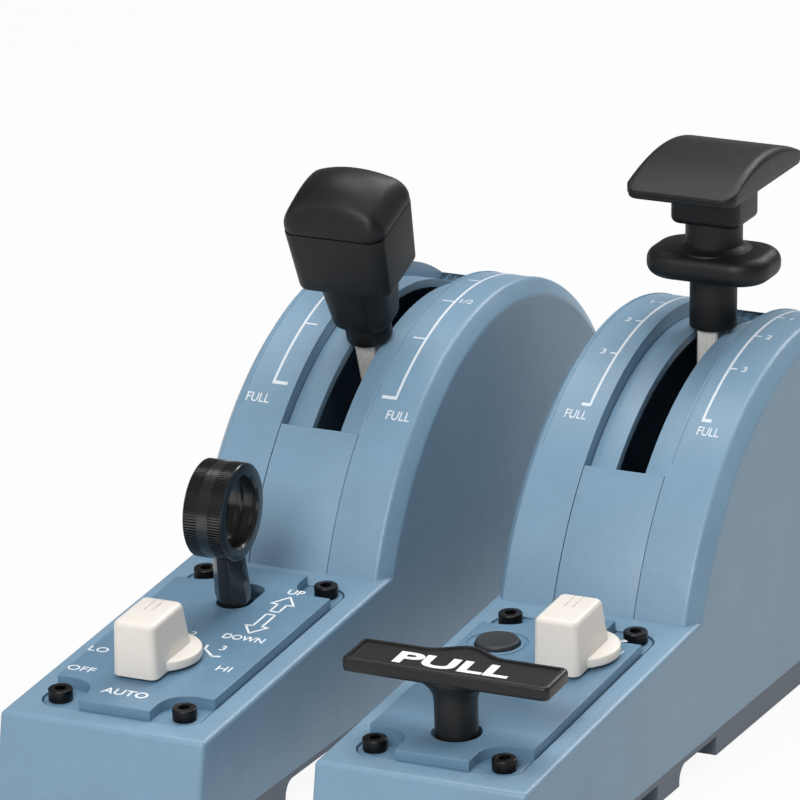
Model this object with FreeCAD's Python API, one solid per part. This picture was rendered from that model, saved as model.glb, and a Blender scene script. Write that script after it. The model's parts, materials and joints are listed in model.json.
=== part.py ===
"""Two desktop flight-lever modules that stand side by side as one quadrant.

The left module carries the speed-brake lever, the landing-gear lever and the auto-brake selector.
The right module carries the flaps lever with its lifting collar, the parking-brake handle, the
rudder-trim knob and a push button. Both share one housing, one base and one lever mechanism.

Each module is modelled in its own frame: X to the right from the module's centre plane, Y to the
rear from the front edge of the deck, Z up from the table. Deck pieces are modelled flat, in deck
coordinates (x across, y along the deck, z off its surface), and lever pieces upright on the pivot
axis; both are then turned into place.
"""
import FreeCAD, Part
import math
import os

Vec = FreeCAD.Vector
X_AXIS, Y_AXIS, Z_AXIS = Vec(1, 0, 0), Vec(0, 1, 0), Vec(0, 0, 1)

# ---------------------------------------------------------------- driving dimensions, mm and degrees
running_fit = 0.05            # radial clearance of a turning or sliding fit
seat_gap = 0.05               # gap between a fixed piece and its pocket

module_width = 50.0
module_pitch = 76.3
wall = 2.2

deck_front_height = 28.2      # front edge of the deck above the table
deck_tilt = 4.3
deck_edge_round = 1.2
front_lean = 9.0

pivot_y = 166.45              # lever axis, behind the deck's front edge
pivot_z = 10.9
crown_radius = 75.5
flank_radius = 71.65          # where the crown's bevel meets the side faces
bevel_width = 2.6

cover_width = 19.7            # middle strip of the hump
cover_gap = 0.15
cover_rear_angle = 25.0       # angles are about the lever axis, from the rear and up
track_radius = 72.0
track_front_angle = 135.3
track_rear_angle = 60.0
slot_width = 7.2
slot_rear_angle = 64.0
cover_wall = 2.0
rib_thickness = 2.0

label_inner, label_outer = 10.6, 21.5
label_front_angle, label_rear_angle = 132.6, 62.5
label_depth = 0.15

base_bottom = 0.5             # the rubber feet stand this proud
base_top = 6.5
channel_roof = 5.1
front_channel = (41.0, 73.8)  # cross channels for joining bars, front and rear faces
rear_channel = (86.5, 108.6)
channel_round = 3.6
floor_thickness = 1.9
foot_radius, foot_recess = 5.0, 0.8
foot_x, foot_front_y, foot_rear_y = 17.0, 12.0, 224.0
join_spacing_x = 30.0
join_hole_radius, join_hole_depth, join_boss_radius = 1.65, 6.0, 4.0
case_screw_x, case_screw_front_y, case_screw_rear_y = 18.4, 29.0, 204.0
case_boss_radius, case_boss_top = 3.4, 17.0
case_screw_length = 8.0
frame_screw_length = 3.4

screw_radius, screw_head_radius, screw_head_height = 1.5, 2.75, 3.0
screw_clearance = 0.2
hex_socket, hex_depth = 2.5, 1.6

panel_half, panel_front, panel_rear = 19.4, 6.4, 87.9
panel_corner = 4.6
panel_rise = 2.5              # top of the raised field above the deck
panel_flange_top, panel_flange = -0.3, 1.2
panel_gap = 0.25
panel_skin = 1.8
notch_radius = 6.5
panel_edge = 0.4
panel_screw_x, panel_screw_front, panel_screw_rear = 15.24, 10.51, 83.78
panel_screw_length = 7.0
deck_boss_radius, deck_boss_depth = 3.2, 9.5
deck_pad = (21.5, 3.8, 90.4, 3.4)  # half width, front, rear and depth of the thicker deck
wide_window = (17.7, 18.3, 76.0)   # half width, front and rear of the opening under the panel
long_window = (7.9, 12.2, 82.0)

shaft_radius = 3.0
shaft_left, shaft_right = -17.0, 15.4
hub_radius, hub_half = 6.0, 5.0
hub_block_depth, hub_block_height = 14.0, 24.0
bush_wall, bush_flange_radius, bush_flange = 1.8, 6.2, 1.0
cheek_x, cheek_thickness, cheek_radius = 11.0, 2.0, 24.0
frame_floor, frame_length, frame_half = 2.0, 52.0, 19.0
detent_radius, detent_inner, detent_width = 26.0, 18.0, 2.0
detent_depth, detent_front_angle, detent_rear_angle = 1.0, 142.0, 58.0
roller_radius, roller_clearance = 1.5, 0.15
finger_thickness = 2.5
magnet_radius, magnet_length, sensor_gap = 3.0, 1.8, 0.6
board_thickness = 1.6
sensor_board_depth, sensor_board_top = 18.0, 24.0

arm_width, arm_depth = 5.0, 8.0
collar_radius = 5.55
sleeve_clearance = 1.0        # sleeve end above the floor of the track

# speed-brake lever, heights are distances from the lever axis
brake_angle = 110.8
brake_detents = (127.1, 112.3, 99.2, 87.6, 75.0)
brake_collar_mid, brake_body_low, brake_body_high = 77.5, 91.5, 106.8
brake_body_bottom, brake_body_top, brake_body_round = (22.4, 16.2), (24.4, 17.2), 3.0
brake_collar_top = (17.6, 14.6)
brake_seam = 0.3
brake_cap_edge, brake_cap_dome, brake_cap_top = 2.6, 20.0, 117.5

# flaps lever
flap_angle = 90.5
flap_detents = (122.9, 109.6, 97.4, 86.3, 75.0)
flange_low, flange_high = 85.3, 92.3
flange_size, flange_corner = (30.4, 21.0), 8.0
neck_radius, neck_seat = 6.7, 0.6
flange_bore_depth = 6.1
block_low, block_size, block_corner = 98.9, (16.8, 14.4), 2.6
paddle_low, paddle_lip = 108.3, 1.0
paddle_size, paddle_corner = (27.0, 46.0), 3.4
paddle_arch, paddle_top, paddle_edge = 50.8, 116.1, 1.3
spring_radius, spring_wire, spring_turns = 6.2, 0.5, 2.5

# landing-gear lever, in deck coordinates
gear_x, gear_pivot_y, gear_pivot_z = -0.5, 71.4, -17.5
gear_lean = 8.8
gear_slot = (64.1, 79.0)
gear_slot_half = 4.0
gear_pin_radius = 1.5
gear_wheel_height, gear_wheel_radius, gear_wheel_width = 44.4, 11.2, 9.7
gear_wheel_bore, gear_wheel_groove = 8.2, 8.9
gear_lip, gear_rib = 1.6, 1.2
knurl_teeth, knurl_depth, knurl_band = 64, 0.4, 3.3
gear_edge = 0.6
gear_cheek, gear_cheek_out = 1.5, 5.2         # thickness, and inner face from the slot's middle

# selector knobs, in deck coordinates from their own axis
knob_gap = 0.7
knob_disc_radius, knob_disc_height = 9.5, 2.3
knob_front, knob_rear, knob_width = 13.1, 3.0, 10.7
knob_top, knob_taper, knob_corner = 16.0, 0.45, 1.8
spindle_radius, spindle_low, spindle_high = 3.0, -6.0, 10.0
switch_size, switch_low = 13.0, -13.5
switch_neck = 3.5
brake_knob_x, brake_knob_y = -1.8, 33.1
trim_knob_x, trim_knob_y = 8.5, 67.0

# parking-brake handle, in deck coordinates
handle_y = 19.8
handle_half, handle_low, handle_high = 24.4, 15.4, 18.8
handle_front, handle_rear = 6.2, 6.2          # in front of and behind the stem's axis
handle_boss, handle_corner, handle_round = 10.0, 1.6, 1.1
handle_border, handle_recess = 1.0, 0.4
stem_radius, stem_low, stem_flare = 4.8, -9.0, 4.2
stem_hole = 5.6
plunger_radius, plunger_top, plunger_collar = 3.0, 8.0, 4.6
plunger_collar_height, handle_lift = 2.0, 6.0
guide_wall, guide_low = 1.8, -14.5
clip_radius, clip_thickness = 4.6, 0.8

# push button, in deck coordinates
button_x, button_y = -11.1, 67.1
button_radius, button_top, button_hole = 5.0, 3.5, 5.25
button_ring = (6.3, 6.8)
button_travel, button_skirt = 0.8, -2.2
button_stem_radius, button_stem_low = 1.5, -5.5
button_body_low, button_body_wall = -9.0, 1.2

# boards and the socket at the rear
main_board = (18.0, 112.0, 137.0)             # half width, front, rear
main_board_height = 10.0
socket_half, socket_low, socket_high, socket_depth = 6.8, 13.4, 26.0, 15.0
socket_set_back = 1.8
socket_cavity_half, socket_cavity = 4.9, (15.4, 22.0)

# ---------------------------------------------------------------- places worked out from them
half_width = module_width / 2
rise = math.sin(math.radians(deck_tilt))
level = math.cos(math.radians(deck_tilt))
front_foot_y = -deck_front_height * math.tan(math.radians(front_lean))
rear_y = pivot_y + crown_radius
middle_y = (front_foot_y + rear_y) / 2
opening_half = cover_width / 2 + cover_gap
floor_top = base_bottom + floor_thickness
sleeve_low = track_radius + sleeve_clearance
frame_top = floor_top + frame_floor
brake_lean = brake_angle - 90
flap_lean = flap_angle - 90
PIVOT = Vec(0, pivot_y, pivot_z)


# ---------------------------------------------------------------- helpers
def block(x, y, z):
    """Box from its low and high value along each axis."""
    return Part.makeBox(x[1] - x[0], y[1] - y[0], z[1] - z[0], Vec(x[0], y[0], z[0]))


def rod(radius, low, high, axis=Z_AXIS, at=(0, 0, 0)):
    """Cylinder of one radius between two places along an axis through a point."""
    start = Vec(*at) + axis * low
    return Part.makeCylinder(radius, high - low, start, axis)


def tube(outer, inner, low, high, axis=Z_AXIS, at=(0, 0, 0)):
    return rod(outer, low, high, axis, at).cut(rod(inner, low - 1, high + 1, axis, at))


def polygon(points):
    corners = [Vec(*point) for point in points]
    return Part.Face(Part.makePolygon(corners + corners[:1]))


def rounded_wire(x, y, corner, z):
    """Closed rectangle with round corners, on a level plane."""
    (x0, x1), (y0, y1) = x, y
    c, q = corner, corner * (1 - math.sqrt(0.5))
    line = lambda a, b: Part.makeLine(Vec(*a, z), Vec(*b, z))
    arc = lambda a, b, d: Part.Arc(Vec(*a, z), Vec(*b, z), Vec(*d, z)).toShape()
    return Part.Wire([
        line((x0 + c, y0), (x1 - c, y0)), arc((x1 - c, y0), (x1 - q, y0 + q), (x1, y0 + c)),
        line((x1, y0 + c), (x1, y1 - c)), arc((x1, y1 - c), (x1 - q, y1 - q), (x1 - c, y1)),
        line((x1 - c, y1), (x0 + c, y1)), arc((x0 + c, y1), (x0 + q, y1 - q), (x0, y1 - c)),
        line((x0, y1 - c), (x0, y0 + c)), arc((x0, y0 + c), (x0 + q, y0 + q), (x0 + c, y0))])


def plate(x, y, z, corner):
    """Flat plate with round corners."""
    return Part.Face(rounded_wire(x, y, corner, z[0])).extrude(Vec(0, 0, z[1] - z[0]))


def centred(size):
    """Low and high value of a length that is centred on zero."""
    return -size / 2, size / 2


def slot_plate(x, half, y, z):
    """Round-ended bar along Y."""
    return plate((x - half, x + half), y, z, half - 0.001)


def turned(section, low_angle=0.0, high_angle=360.0):
    """Solid made by turning (x, radius) points about the lever axis between two angles."""
    face = polygon([(x, pivot_y + r, pivot_z) for x, r in section])
    face.rotate(PIVOT, X_AXIS, low_angle)
    return face.revolve(PIVOT, X_AXIS, high_angle - low_angle)


def band(x, radius, low_angle=0.0, high_angle=360.0):
    """Part of a ring about the lever axis: x and radius as low and high values."""
    (x0, x1), (r0, r1) = x, radius
    return turned([(x0, r0), (x1, r0), (x1, r1), (x0, r1)], low_angle, high_angle)


def on_deck(shape):
    """Turn a shape from deck coordinates into its module's frame."""
    placed = shape.copy()
    placed.rotate(Vec(0, 0, 0), X_AXIS, deck_tilt)
    placed.translate(Vec(0, 0, deck_front_height))
    return placed


def on_lever(shape, lean):
    """Turn an upright lever piece, modelled on the origin, to its angle on the lever axis."""
    placed = shape.copy()
    placed.rotate(Vec(0, 0, 0), X_AXIS, lean)
    placed.translate(PIVOT)
    return placed


def round_edges(shape, radius, chosen):
    """Fillet the edges that a test on the edge picks."""
    edges = [edge for edge in shape.Edges if chosen(edge)]
    return shape.makeFillet(radius, edges)


def at_height(z, tolerance=1e-4):
    """Test for edges that lie on a level plane."""
    return lambda edge: all(abs(v.Z - z) < tolerance for v in edge.Vertexes) and \
        abs(edge.BoundBox.ZMax - z) < tolerance


def joined(shapes):
    """One solid from touching or overlapping shapes."""
    whole = shapes[0].fuse(list(shapes[1:])) if len(shapes) > 1 else shapes[0]
    return whole.removeSplitter()


def group(shapes):
    """Separate solids that share one node."""
    return Part.makeCompound(list(shapes))


def cap_screw(length, top=0.0):
    """Socket-head screw, head down to its seat at z = 0."""
    head = rod(screw_head_radius, 0, screw_head_height)
    head = head.makeChamfer(0.3, [e for e in head.Edges if at_height(screw_head_height)(e)])
    flat = hex_socket / math.sqrt(3)
    corners = [(flat * math.cos(math.radians(60 * k)), flat * math.sin(math.radians(60 * k)),
                screw_head_height - hex_depth) for k in range(6)]
    socket = polygon(corners).extrude(Vec(0, 0, hex_depth + 1))
    screw = joined([head.cut(socket), rod(screw_radius, -length, 0.5)])
    screw.translate(Vec(0, 0, top))
    return screw


def four(x, front, rear):
    """Four places, left and right of the centre plane."""
    return [(sx * x, y) for y in (front, rear) for sx in (-1, 1)]


# ---------------------------------------------------------------- housing
def wheel_section(inset=0.0):
    """Half the hump's cross-section as (x, radius), all faces moved inwards by one distance."""
    drop = crown_radius - flank_radius
    length = math.hypot(drop, bevel_width)
    start_x = half_width - bevel_width - inset * drop / length
    start_r = crown_radius - inset * bevel_width / length
    top_x = start_x + bevel_width * (start_r - (crown_radius - inset)) / drop
    side_r = start_r - drop * (half_width - inset - start_x) / bevel_width
    return [(top_x, crown_radius - inset), (half_width - inset, side_r)]


def hump(inset, bottom):
    """The wheel-shaped rear body above one height."""
    (top_x, top_r), (side_x, side_r) = wheel_section(inset)
    wheel = turned([(-side_x, 0), (-side_x, side_r), (-top_x, top_r),
                    (top_x, top_r), (side_x, side_r), (side_x, 0)])
    reach = crown_radius + 5
    return wheel.common(block((-reach, reach), (pivot_y - reach, pivot_y + reach),
                              (bottom, pivot_z + reach)))


def front_face_y(z, inset=0.0):
    """Where the leaning front face stands at one height."""
    lean = math.radians(front_lean)
    return -(deck_front_height - z) * math.tan(lean) + inset / math.cos(lean)


def deck_body(inset, bottom):
    """The sloping front body above one height."""
    half = half_width - inset
    top_z = deck_front_height - inset / level
    front_y = front_face_y(top_z, inset)
    profile = polygon([
        (-half, front_face_y(bottom, inset), bottom),
        (-half, front_y, top_z + front_y * rise / level),
        (-half, pivot_y, top_z + pivot_y * rise / level),
        (-half, pivot_y, bottom)])
    return profile.extrude(Vec(2 * half, 0, 0))


def above_deck(depth=0.0):
    """Everything above the deck plane, or above a plane sunk below it."""
    reach = rear_y + 50
    return on_deck(block((-reach, reach), (-reach, 2 * reach), (-depth, 2 * reach)))


def housing():
    front = deck_body(0, base_top)
    lowest = deck_front_height + front_foot_y * rise
    front = round_edges(front, deck_edge_round, lambda e: (
        e.BoundBox.ZMin > lowest - 1 and e.BoundBox.YMin < pivot_y - 1)
        or (e.BoundBox.YMax < deck_edge_round and e.BoundBox.ZMax - e.BoundBox.ZMin > wall))
    shell = front.fuse(hump(0, base_top))
    hollow = deck_body(wall, base_top - 1).fuse(hump(wall, base_top - 1))
    shell = shell.cut(hollow)

    rib_inner = track_radius - cover_wall
    ribs = []
    for x in ((opening_half, opening_half + rib_thickness),
              (-opening_half - rib_thickness, -opening_half)):
        rib = band(x, (rib_inner, crown_radius - wall / 2), cover_rear_angle - 2, 165)
        ribs.append(rib.common(above_deck(wall / 2)))
    sill = band((-opening_half, opening_half), (rib_inner, crown_radius - wall / 2),
                cover_rear_angle - 2, cover_rear_angle)
    pad_half, pad_front, pad_rear, pad_depth = deck_pad
    ribs.append(on_deck(plate((-pad_half, pad_half), (pad_front, pad_rear), (-pad_depth, -wall / 2), 2.0)))
    for x, y in four(panel_screw_x, panel_screw_front, panel_screw_rear):
        ribs.append(on_deck(rod(deck_boss_radius, -deck_boss_depth, -wall / 2, at=(x, y, 0))))
    for x, y in four(case_screw_x, case_screw_front_y, case_screw_rear_y):
        top = case_boss_top
        if y == case_screw_front_y:
            top = deck_front_height + y * rise / level - wall
        ribs.append(rod(case_boss_radius, base_top, top, at=(x, y, 0)))
        side = (x, half_width - wall / 2) if x > 0 else (-half_width + wall / 2, x)
        ribs.append(block(side, (y - wall / 2, y + wall / 2), (base_top, top)))
    shell = joined([shell, sill] + ribs)

    opening = band((-opening_half, opening_half), (rib_inner - 1, crown_radius + 1),
                   cover_rear_angle, 170)
    shell = shell.cut(opening.common(above_deck()))
    for x in ((label_inner, label_outer), (-label_outer, -label_inner)):
        shell = shell.cut(band(x, (crown_radius - label_depth, crown_radius + 1),
                               label_rear_angle, label_front_angle))

    edge = panel_gap
    seat = plate((-panel_half - edge, panel_half + edge), (panel_front - edge, panel_rear + edge),
                 (panel_flange_top - panel_flange, 1), panel_corner + edge)
    cuts = [on_deck(seat)] + [on_deck(window) for window in panel_windows(-deck_pad[3] - 1, 1)]
    hole_low = panel_flange_top - panel_screw_length - 0.2
    for x, y in four(panel_screw_x, panel_screw_front, panel_screw_rear):
        cuts.append(on_deck(rod(screw_radius, hole_low, 1, at=(x, y, 0))))
    for x, y in four(case_screw_x, case_screw_front_y, case_screw_rear_y):
        cuts.append(rod(screw_radius, base_top - 1, base_top + case_screw_length, at=(x, y, 0)))
    gap = 4 * seat_gap
    cuts.append(block((-socket_half - gap, socket_half + gap), (rear_y - 8, rear_y + 1),
                      (socket_low - gap, socket_high + gap)))
    return shell.cut(group(cuts))


def slot_cover():
    """Middle strip of the hump: flush at the front, then a sunk track with the lever's slot."""
    half = cover_width / 2
    thin = crown_radius - cover_wall
    floor = track_radius - cover_wall
    strip = joined([
        band((-half, half), (thin, crown_radius), track_front_angle, 165),
        band((-half, half), (floor, crown_radius), track_front_angle, track_front_angle + 1.6),
        band((-half, half), (floor, track_radius), track_rear_angle, track_front_angle),
        band((-half, half), (floor, crown_radius), track_rear_angle - 1.6, track_rear_angle),
        band((-half, half), (thin, crown_radius), cover_rear_angle, track_rear_angle)])
    slot = band(centred(slot_width), (floor - 1, track_radius + 1), slot_rear_angle,
                track_front_angle)
    return strip.cut(slot).common(above_deck())


def panel_windows(low, high):
    """Opening under the panel: wide between the screws, long and narrow between their notches."""
    return [plate((-half, half), (front, rear), (low, high), corner)
            for (half, front, rear), corner in ((wide_window, 1.5), (long_window, 1.5))]


# ---------------------------------------------------------------- base
def base_tray():
    reach = rear_y + 1
    profile = polygon([(-half_width, front_face_y(base_bottom), base_bottom),
                       (-half_width, front_face_y(base_top), base_top),
                       (-half_width, reach, base_top), (-half_width, reach, base_bottom)])
    body = profile.extrude(Vec(module_width, 0, 0))
    crown = math.sqrt(crown_radius ** 2 - (pivot_z - base_top) ** 2) + pivot_y
    flank = math.sqrt(flank_radius ** 2 - (pivot_z - base_top) ** 2) + pivot_y
    bevel_x = half_width - bevel_width

    def plan(inset, low, high):
        x, b = half_width - inset, bevel_x - inset / 2
        outline = polygon([(-x, -20, low), (x, -20, low), (x, flank - inset, low),
                           (b, crown - inset, low), (-b, crown - inset, low), (-x, flank - inset, low)])
        return outline.extrude(Vec(0, 0, high - low))

    body = body.common(plan(0, base_bottom, base_top))
    front_inner = front_face_y(base_bottom) + wall
    pockets = [(front_inner, front_channel[0] - wall), (front_channel[1] + wall, rear_channel[0] - wall),
               (rear_channel[1] + wall, reach)]
    inner = plan(wall, floor_top, base_top + 1)
    for low, high in pockets:
        body = body.cut(inner.common(block((-half_width, half_width), (low, high),
                                           (floor_top, base_top + 1))))
    for low, high in (front_channel, rear_channel):
        cut = block((-half_width - 1, half_width + 1), (low, high), (base_bottom - 1, channel_roof))
        cut = round_edges(cut, channel_round, lambda e: at_height(channel_roof)(e)
                          and e.BoundBox.YMax < low + 0.01)
        body = body.cut(cut)
    places = four(case_screw_x, case_screw_front_y, case_screw_rear_y)
    joins = join_places()
    bosses = [rod(join_boss_radius, base_top - 0.2, channel_roof + join_hole_depth + 1, at=(x, y, 0))
              for x, y in joins]
    bosses += [rod(case_boss_radius + 1.2, floor_top - 0.2, base_top, at=(x, y, 0)) for x, y in places]
    posts = [rod(1.8, floor_top - 0.2, main_board_height, at=(x, y, 0)) for x, y in board_posts()]
    rail_x = (wall - half_width - 0.2, -frame_half - seat_gap)
    rails = [block(rail_x, centred(3.0), (floor_top - 0.2, base_top)) for s in (-1, 1)]
    for rail, s in zip(rails, (-1, 1)):
        rail.translate(Vec(0, pivot_y + s * sensor_board_depth / 2, 0))
    socket_y = socket_rear() - socket_depth
    rest = block((-socket_half + 1, socket_half - 1), (socket_y + 1, socket_y + 8),
                 (floor_top - 0.2, socket_low))
    body = joined([body, rest] + bosses + posts + rails)
    cuts = [rod(join_hole_radius, 0, channel_roof + join_hole_depth, at=(x, y, 0)) for x, y in joins]
    for x, y in places:
        cuts.append(rod(screw_radius + screw_clearance, 0, base_top + 1, at=(x, y, 0)))
        cuts.append(rod(screw_head_radius + screw_clearance, 0, case_seat(), at=(x, y, 0)))
    for x, y in four(foot_x, foot_front_y, foot_rear_y):
        cuts.append(rod(foot_radius, 0, base_bottom + foot_recess, at=(x, y, 0)))
    cuts.append(sensor_board().common(block((-100, 0), (0, 400), (0, base_top))))
    for x, y in frame_screw_places():
        cuts.append(rod(screw_radius, frame_top - frame_screw_length - 0.1, frame_top, at=(x, y, 0)))
    return body.cut(group(cuts))


def join_places():
    """Tapped holes in the channels' roofs, for the joining bars."""
    return four(join_spacing_x / 2, sum(front_channel) / 2, sum(rear_channel) / 2)


def board_posts():
    half, front, rear = main_board
    return four(half - 2.4, front + 2.4, rear - 2.4)


def case_seat():
    """Height of the seat of the screws that hold the housing on the base."""
    return base_bottom + screw_head_height + 0.4


def fixing_screws():
    """Screws that hold the housing on the base and the lever frame on its floor."""
    screws = []
    for x, y in four(case_screw_x, case_screw_front_y, case_screw_rear_y):
        screw = cap_screw(case_screw_length + base_top - case_seat() - 0.5)
        screw.rotate(Vec(0, 0, 0), X_AXIS, 180)
        screw.translate(Vec(x, y, case_seat()))
        screws.append(screw)
    for x, y in frame_screw_places():
        screw = cap_screw(frame_screw_length)
        screw.translate(Vec(x, y, frame_top))
        screws.append(screw)
    return group(screws)


def rubber_feet():
    return group([rod(foot_radius - seat_gap, 0, base_bottom + foot_recess, at=(x, y, 0))
                  for x, y in four(foot_x, foot_front_y, foot_rear_y)])


# ---------------------------------------------------------------- control panel
def control_panel(holes):
    """Raised plate with a notch at each screw; holes are cut through it in deck coordinates."""
    x, y = (-panel_half, panel_half), (panel_front, panel_rear)
    low = panel_flange_top - panel_flange
    flange = plate(x, y, (low, panel_flange_top), panel_corner)
    field = plate(x, y, (panel_flange_top, panel_rise), panel_corner)
    for sx, sy in four(panel_screw_x, panel_screw_front, panel_screw_rear):
        field = field.cut(rod(notch_radius, panel_flange_top - 1, panel_rise + 1, at=(sx, sy, 0)))
    field = field.makeChamfer(panel_edge, [e for e in field.Edges if at_height(panel_rise)(e)])
    body = joined([flange, field])
    body = body.cut(panel_windows(low - 1, panel_rise - panel_skin))
    for sx, sy in four(panel_screw_x, panel_screw_front, panel_screw_rear):
        body = body.cut(rod(screw_radius + screw_clearance, low - 1, panel_rise, at=(sx, sy, 0)))
    return on_deck(body.cut(group(holes)))


def panel_underside():
    """Height of the panel's hollow underside, in deck coordinates."""
    return panel_rise - panel_skin


def panel_screws():
    screws = []
    for x, y in four(panel_screw_x, panel_screw_front, panel_screw_rear):
        screw = cap_screw(panel_screw_length, top=panel_flange_top)
        screw.translate(Vec(x, y, 0))
        screws.append(on_deck(screw))
    return group(screws)


# ---------------------------------------------------------------- lever mechanism, same in both
def frame_screw_places():
    return four(frame_half - 3.0, pivot_y - frame_length / 2 + 5, pivot_y + frame_length / 2 - 5)


def lever_frame():
    """Bracket with two cheeks that carries the lever's shaft."""
    y = (pivot_y - frame_length / 2, pivot_y + frame_length / 2)
    parts = [block((-frame_half, frame_half), y, (floor_top, frame_top))]
    for side in (-1, 1):
        x = sorted((side * cheek_x, side * (cheek_x + cheek_thickness)))
        cheek = rod(cheek_radius, x[0], x[1], X_AXIS, (0, pivot_y, pivot_z))
        cheek = cheek.common(block((-50, 50), (0, 400), (floor_top, 100)))
        foot = block(x, (pivot_y - cheek_radius, pivot_y + cheek_radius), (floor_top, pivot_z))
        parts += [cheek, foot]
    body = joined(parts)
    window = block((-hub_half - 1, hub_half + 1), (pivot_y - 9, pivot_y + 9), (floor_top, frame_top))
    body = body.cut(window.copy())
    cuts = [rod(shaft_radius + bush_wall, -50, 50, X_AXIS, (0, pivot_y, pivot_z))]
    for sx, sy in frame_screw_places():
        cuts.append(rod(screw_radius + screw_clearance, 0, frame_top + 1, at=(sx, sy, 0)))
    return body.cut(group(cuts))


def bushes():
    """Flanged plain bearings, one in each cheek."""
    bore = shaft_radius + running_fit
    out = []
    for side in (-1, 1):
        inner, outer = side * (cheek_x - bush_flange), side * (cheek_x + cheek_thickness)
        seat = side * cheek_x
        sleeve = rod(shaft_radius + bush_wall, min(seat, outer), max(seat, outer), X_AXIS)
        flange = rod(bush_flange_radius, min(inner, seat), max(inner, seat), X_AXIS)
        bush = joined([sleeve, flange]).cut(rod(bore, -50, 50, X_AXIS))
        bush.translate(PIVOT)
        out.append(bush)
    return group(out)


def pivot_shaft(lean):
    return on_lever(rod(shaft_radius, shaft_left, shaft_right, X_AXIS), lean)


def arm_bar(top, clearance=0.0):
    """Flat bar of the lever, upright on its axis."""
    w, d = arm_width + 2 * clearance, arm_depth + 2 * clearance
    low = hub_radius + 1 - clearance
    return block(centred(w), centred(d), (low, top + clearance))


def lever_arm(top, lean):
    bar = arm_bar(top)
    bar = bar.makeChamfer(0.4, [e for e in bar.Edges if e.BoundBox.ZLength > arm_width])
    return on_lever(bar, lean)


def lever_hub(lean):
    """Clamp block on the shaft with the detent finger on its right side."""
    barrel = rod(hub_radius, -hub_half, hub_half, X_AXIS)
    body = block((-hub_half, hub_half), centred(hub_block_depth), (0, hub_block_height))
    body = round_edges(body, 2.0, lambda e: at_height(hub_block_height)(e)
                       and e.BoundBox.XLength > 1)
    finger_x = (hub_half, hub_half + finger_thickness)
    finger = block(finger_x, (-3.0, 3.0), (0, roller_centre() + 2.5))
    hub = joined([barrel, body, finger, rod(hub_radius, hub_half, finger_x[1], X_AXIS)])
    hub = hub.cut(rod(shaft_radius, -50, 50, X_AXIS)).cut(arm_bar(hub_block_height + 1))
    for z in arm_screw_heights():
        hub = hub.cut(rod(screw_radius, -hub_half - 1, hub_half + 1, X_AXIS, (0, 0, z)))
    return on_lever(hub.cut(rod(roller_pin(), 0, 50, X_AXIS, (0, 0, roller_centre()))), lean)


def arm_screw_heights():
    return (hub_radius + 5.0, hub_block_height - 4.0)


def roller_centre():
    return detent_radius + roller_clearance + roller_radius


def roller_pin():
    return roller_radius / 2


def detent_roller(lean):
    """Roller on its pin, running on the edge of the detent plate."""
    inner = hub_half + finger_thickness
    pin = rod(roller_pin(), hub_half, cheek_x - 0.2, X_AXIS, (0, 0, roller_centre()))
    roller = rod(roller_radius, inner + 0.2, cheek_x - 0.2, X_AXIS, (0, 0, roller_centre()))
    return on_lever(joined([pin, roller]), lean)


def detent_plate(angles):
    """Sector on the right cheek with a notch at each lever position."""
    x = (cheek_x - detent_width, cheek_x)
    sector = band(x, (detent_inner, detent_radius), detent_rear_angle, detent_front_angle)
    reach = detent_radius + roller_radius - detent_depth + 0.3
    for angle in angles:
        y = pivot_y + reach * math.cos(math.radians(angle))
        z = pivot_z + reach * math.sin(math.radians(angle))
        sector = sector.cut(rod(roller_radius + 0.3, x[0] - 1, x[1] + 1, X_AXIS, (0, y, z)))
    return sector


def washer_stack():
    """Disc springs that load the hub against the right bush, as separate rings."""
    inner, outer = shaft_radius + 0.1, hub_radius
    start, end = hub_half + 0.1, cheek_x - bush_flange - 0.1
    count, thin = 4, 0.5
    pitch = (end - start - thin) / count
    rings = []
    for k in range(count):
        x = -(start + pitch * k)
        deep = pitch - 0.05
        near, far = (0, deep) if k % 2 else (deep, 0)
        rings.append(turned([(x - near, inner), (x - far, outer),
                             (x - far - thin, outer), (x - near - thin, inner)]))
    return group(rings)


def sensor_magnet(lean):
    return on_lever(rod(magnet_radius, shaft_left - magnet_length, shaft_left, X_AXIS), lean)


def sensor_board():
    """Upright board with the angle sensor facing the magnet."""
    right = shaft_left - magnet_length - sensor_gap
    board = block((right - 1 - board_thickness, right - 1), (pivot_y - sensor_board_depth / 2,
                  pivot_y + sensor_board_depth / 2), (floor_top, sensor_board_top))
    chip = block((right - 1, right), (pivot_y - 3, pivot_y + 3), (pivot_z - 3, pivot_z + 3))
    return joined([board, chip])


def main_circuit():
    """Main board on its posts, with its processor and plug header."""
    half, front, rear = main_board
    low, high = main_board_height, main_board_height + board_thickness
    board = block((-half, half), (front, rear), (low, high))
    chip = block((-12, -2), (front + 8, front + 18), (high, high + 1.2))
    header = block((3, 13), (rear - 8, rear - 2), (high, high + 5))
    return joined([board, chip, header])


def socket_rear():
    return rear_y - socket_set_back


def rear_socket():
    """Modular socket that faces the rear."""
    rear = socket_rear()
    body = block((-socket_half, socket_half), (rear - socket_depth, rear), (socket_low, socket_high))
    cavity = block(centred(2 * socket_cavity_half), (rear - socket_depth + 3, rear + 1), socket_cavity)
    latch = block((-1.6, 1.6), (rear - 7, rear + 1), (socket_cavity[1], socket_cavity[1] + 1.4))
    return body.cut(cavity).cut(latch)


# ---------------------------------------------------------------- speed-brake lever
def tapered(low, high, z, corner):
    """Solid between two rounded rectangles (width, depth)."""
    wires = [rounded_wire(centred(size[0]), centred(size[1]), corner, height)
             for size, height in zip((low, high), z)]
    return Part.makeLoft(wires, True, True)


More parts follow.
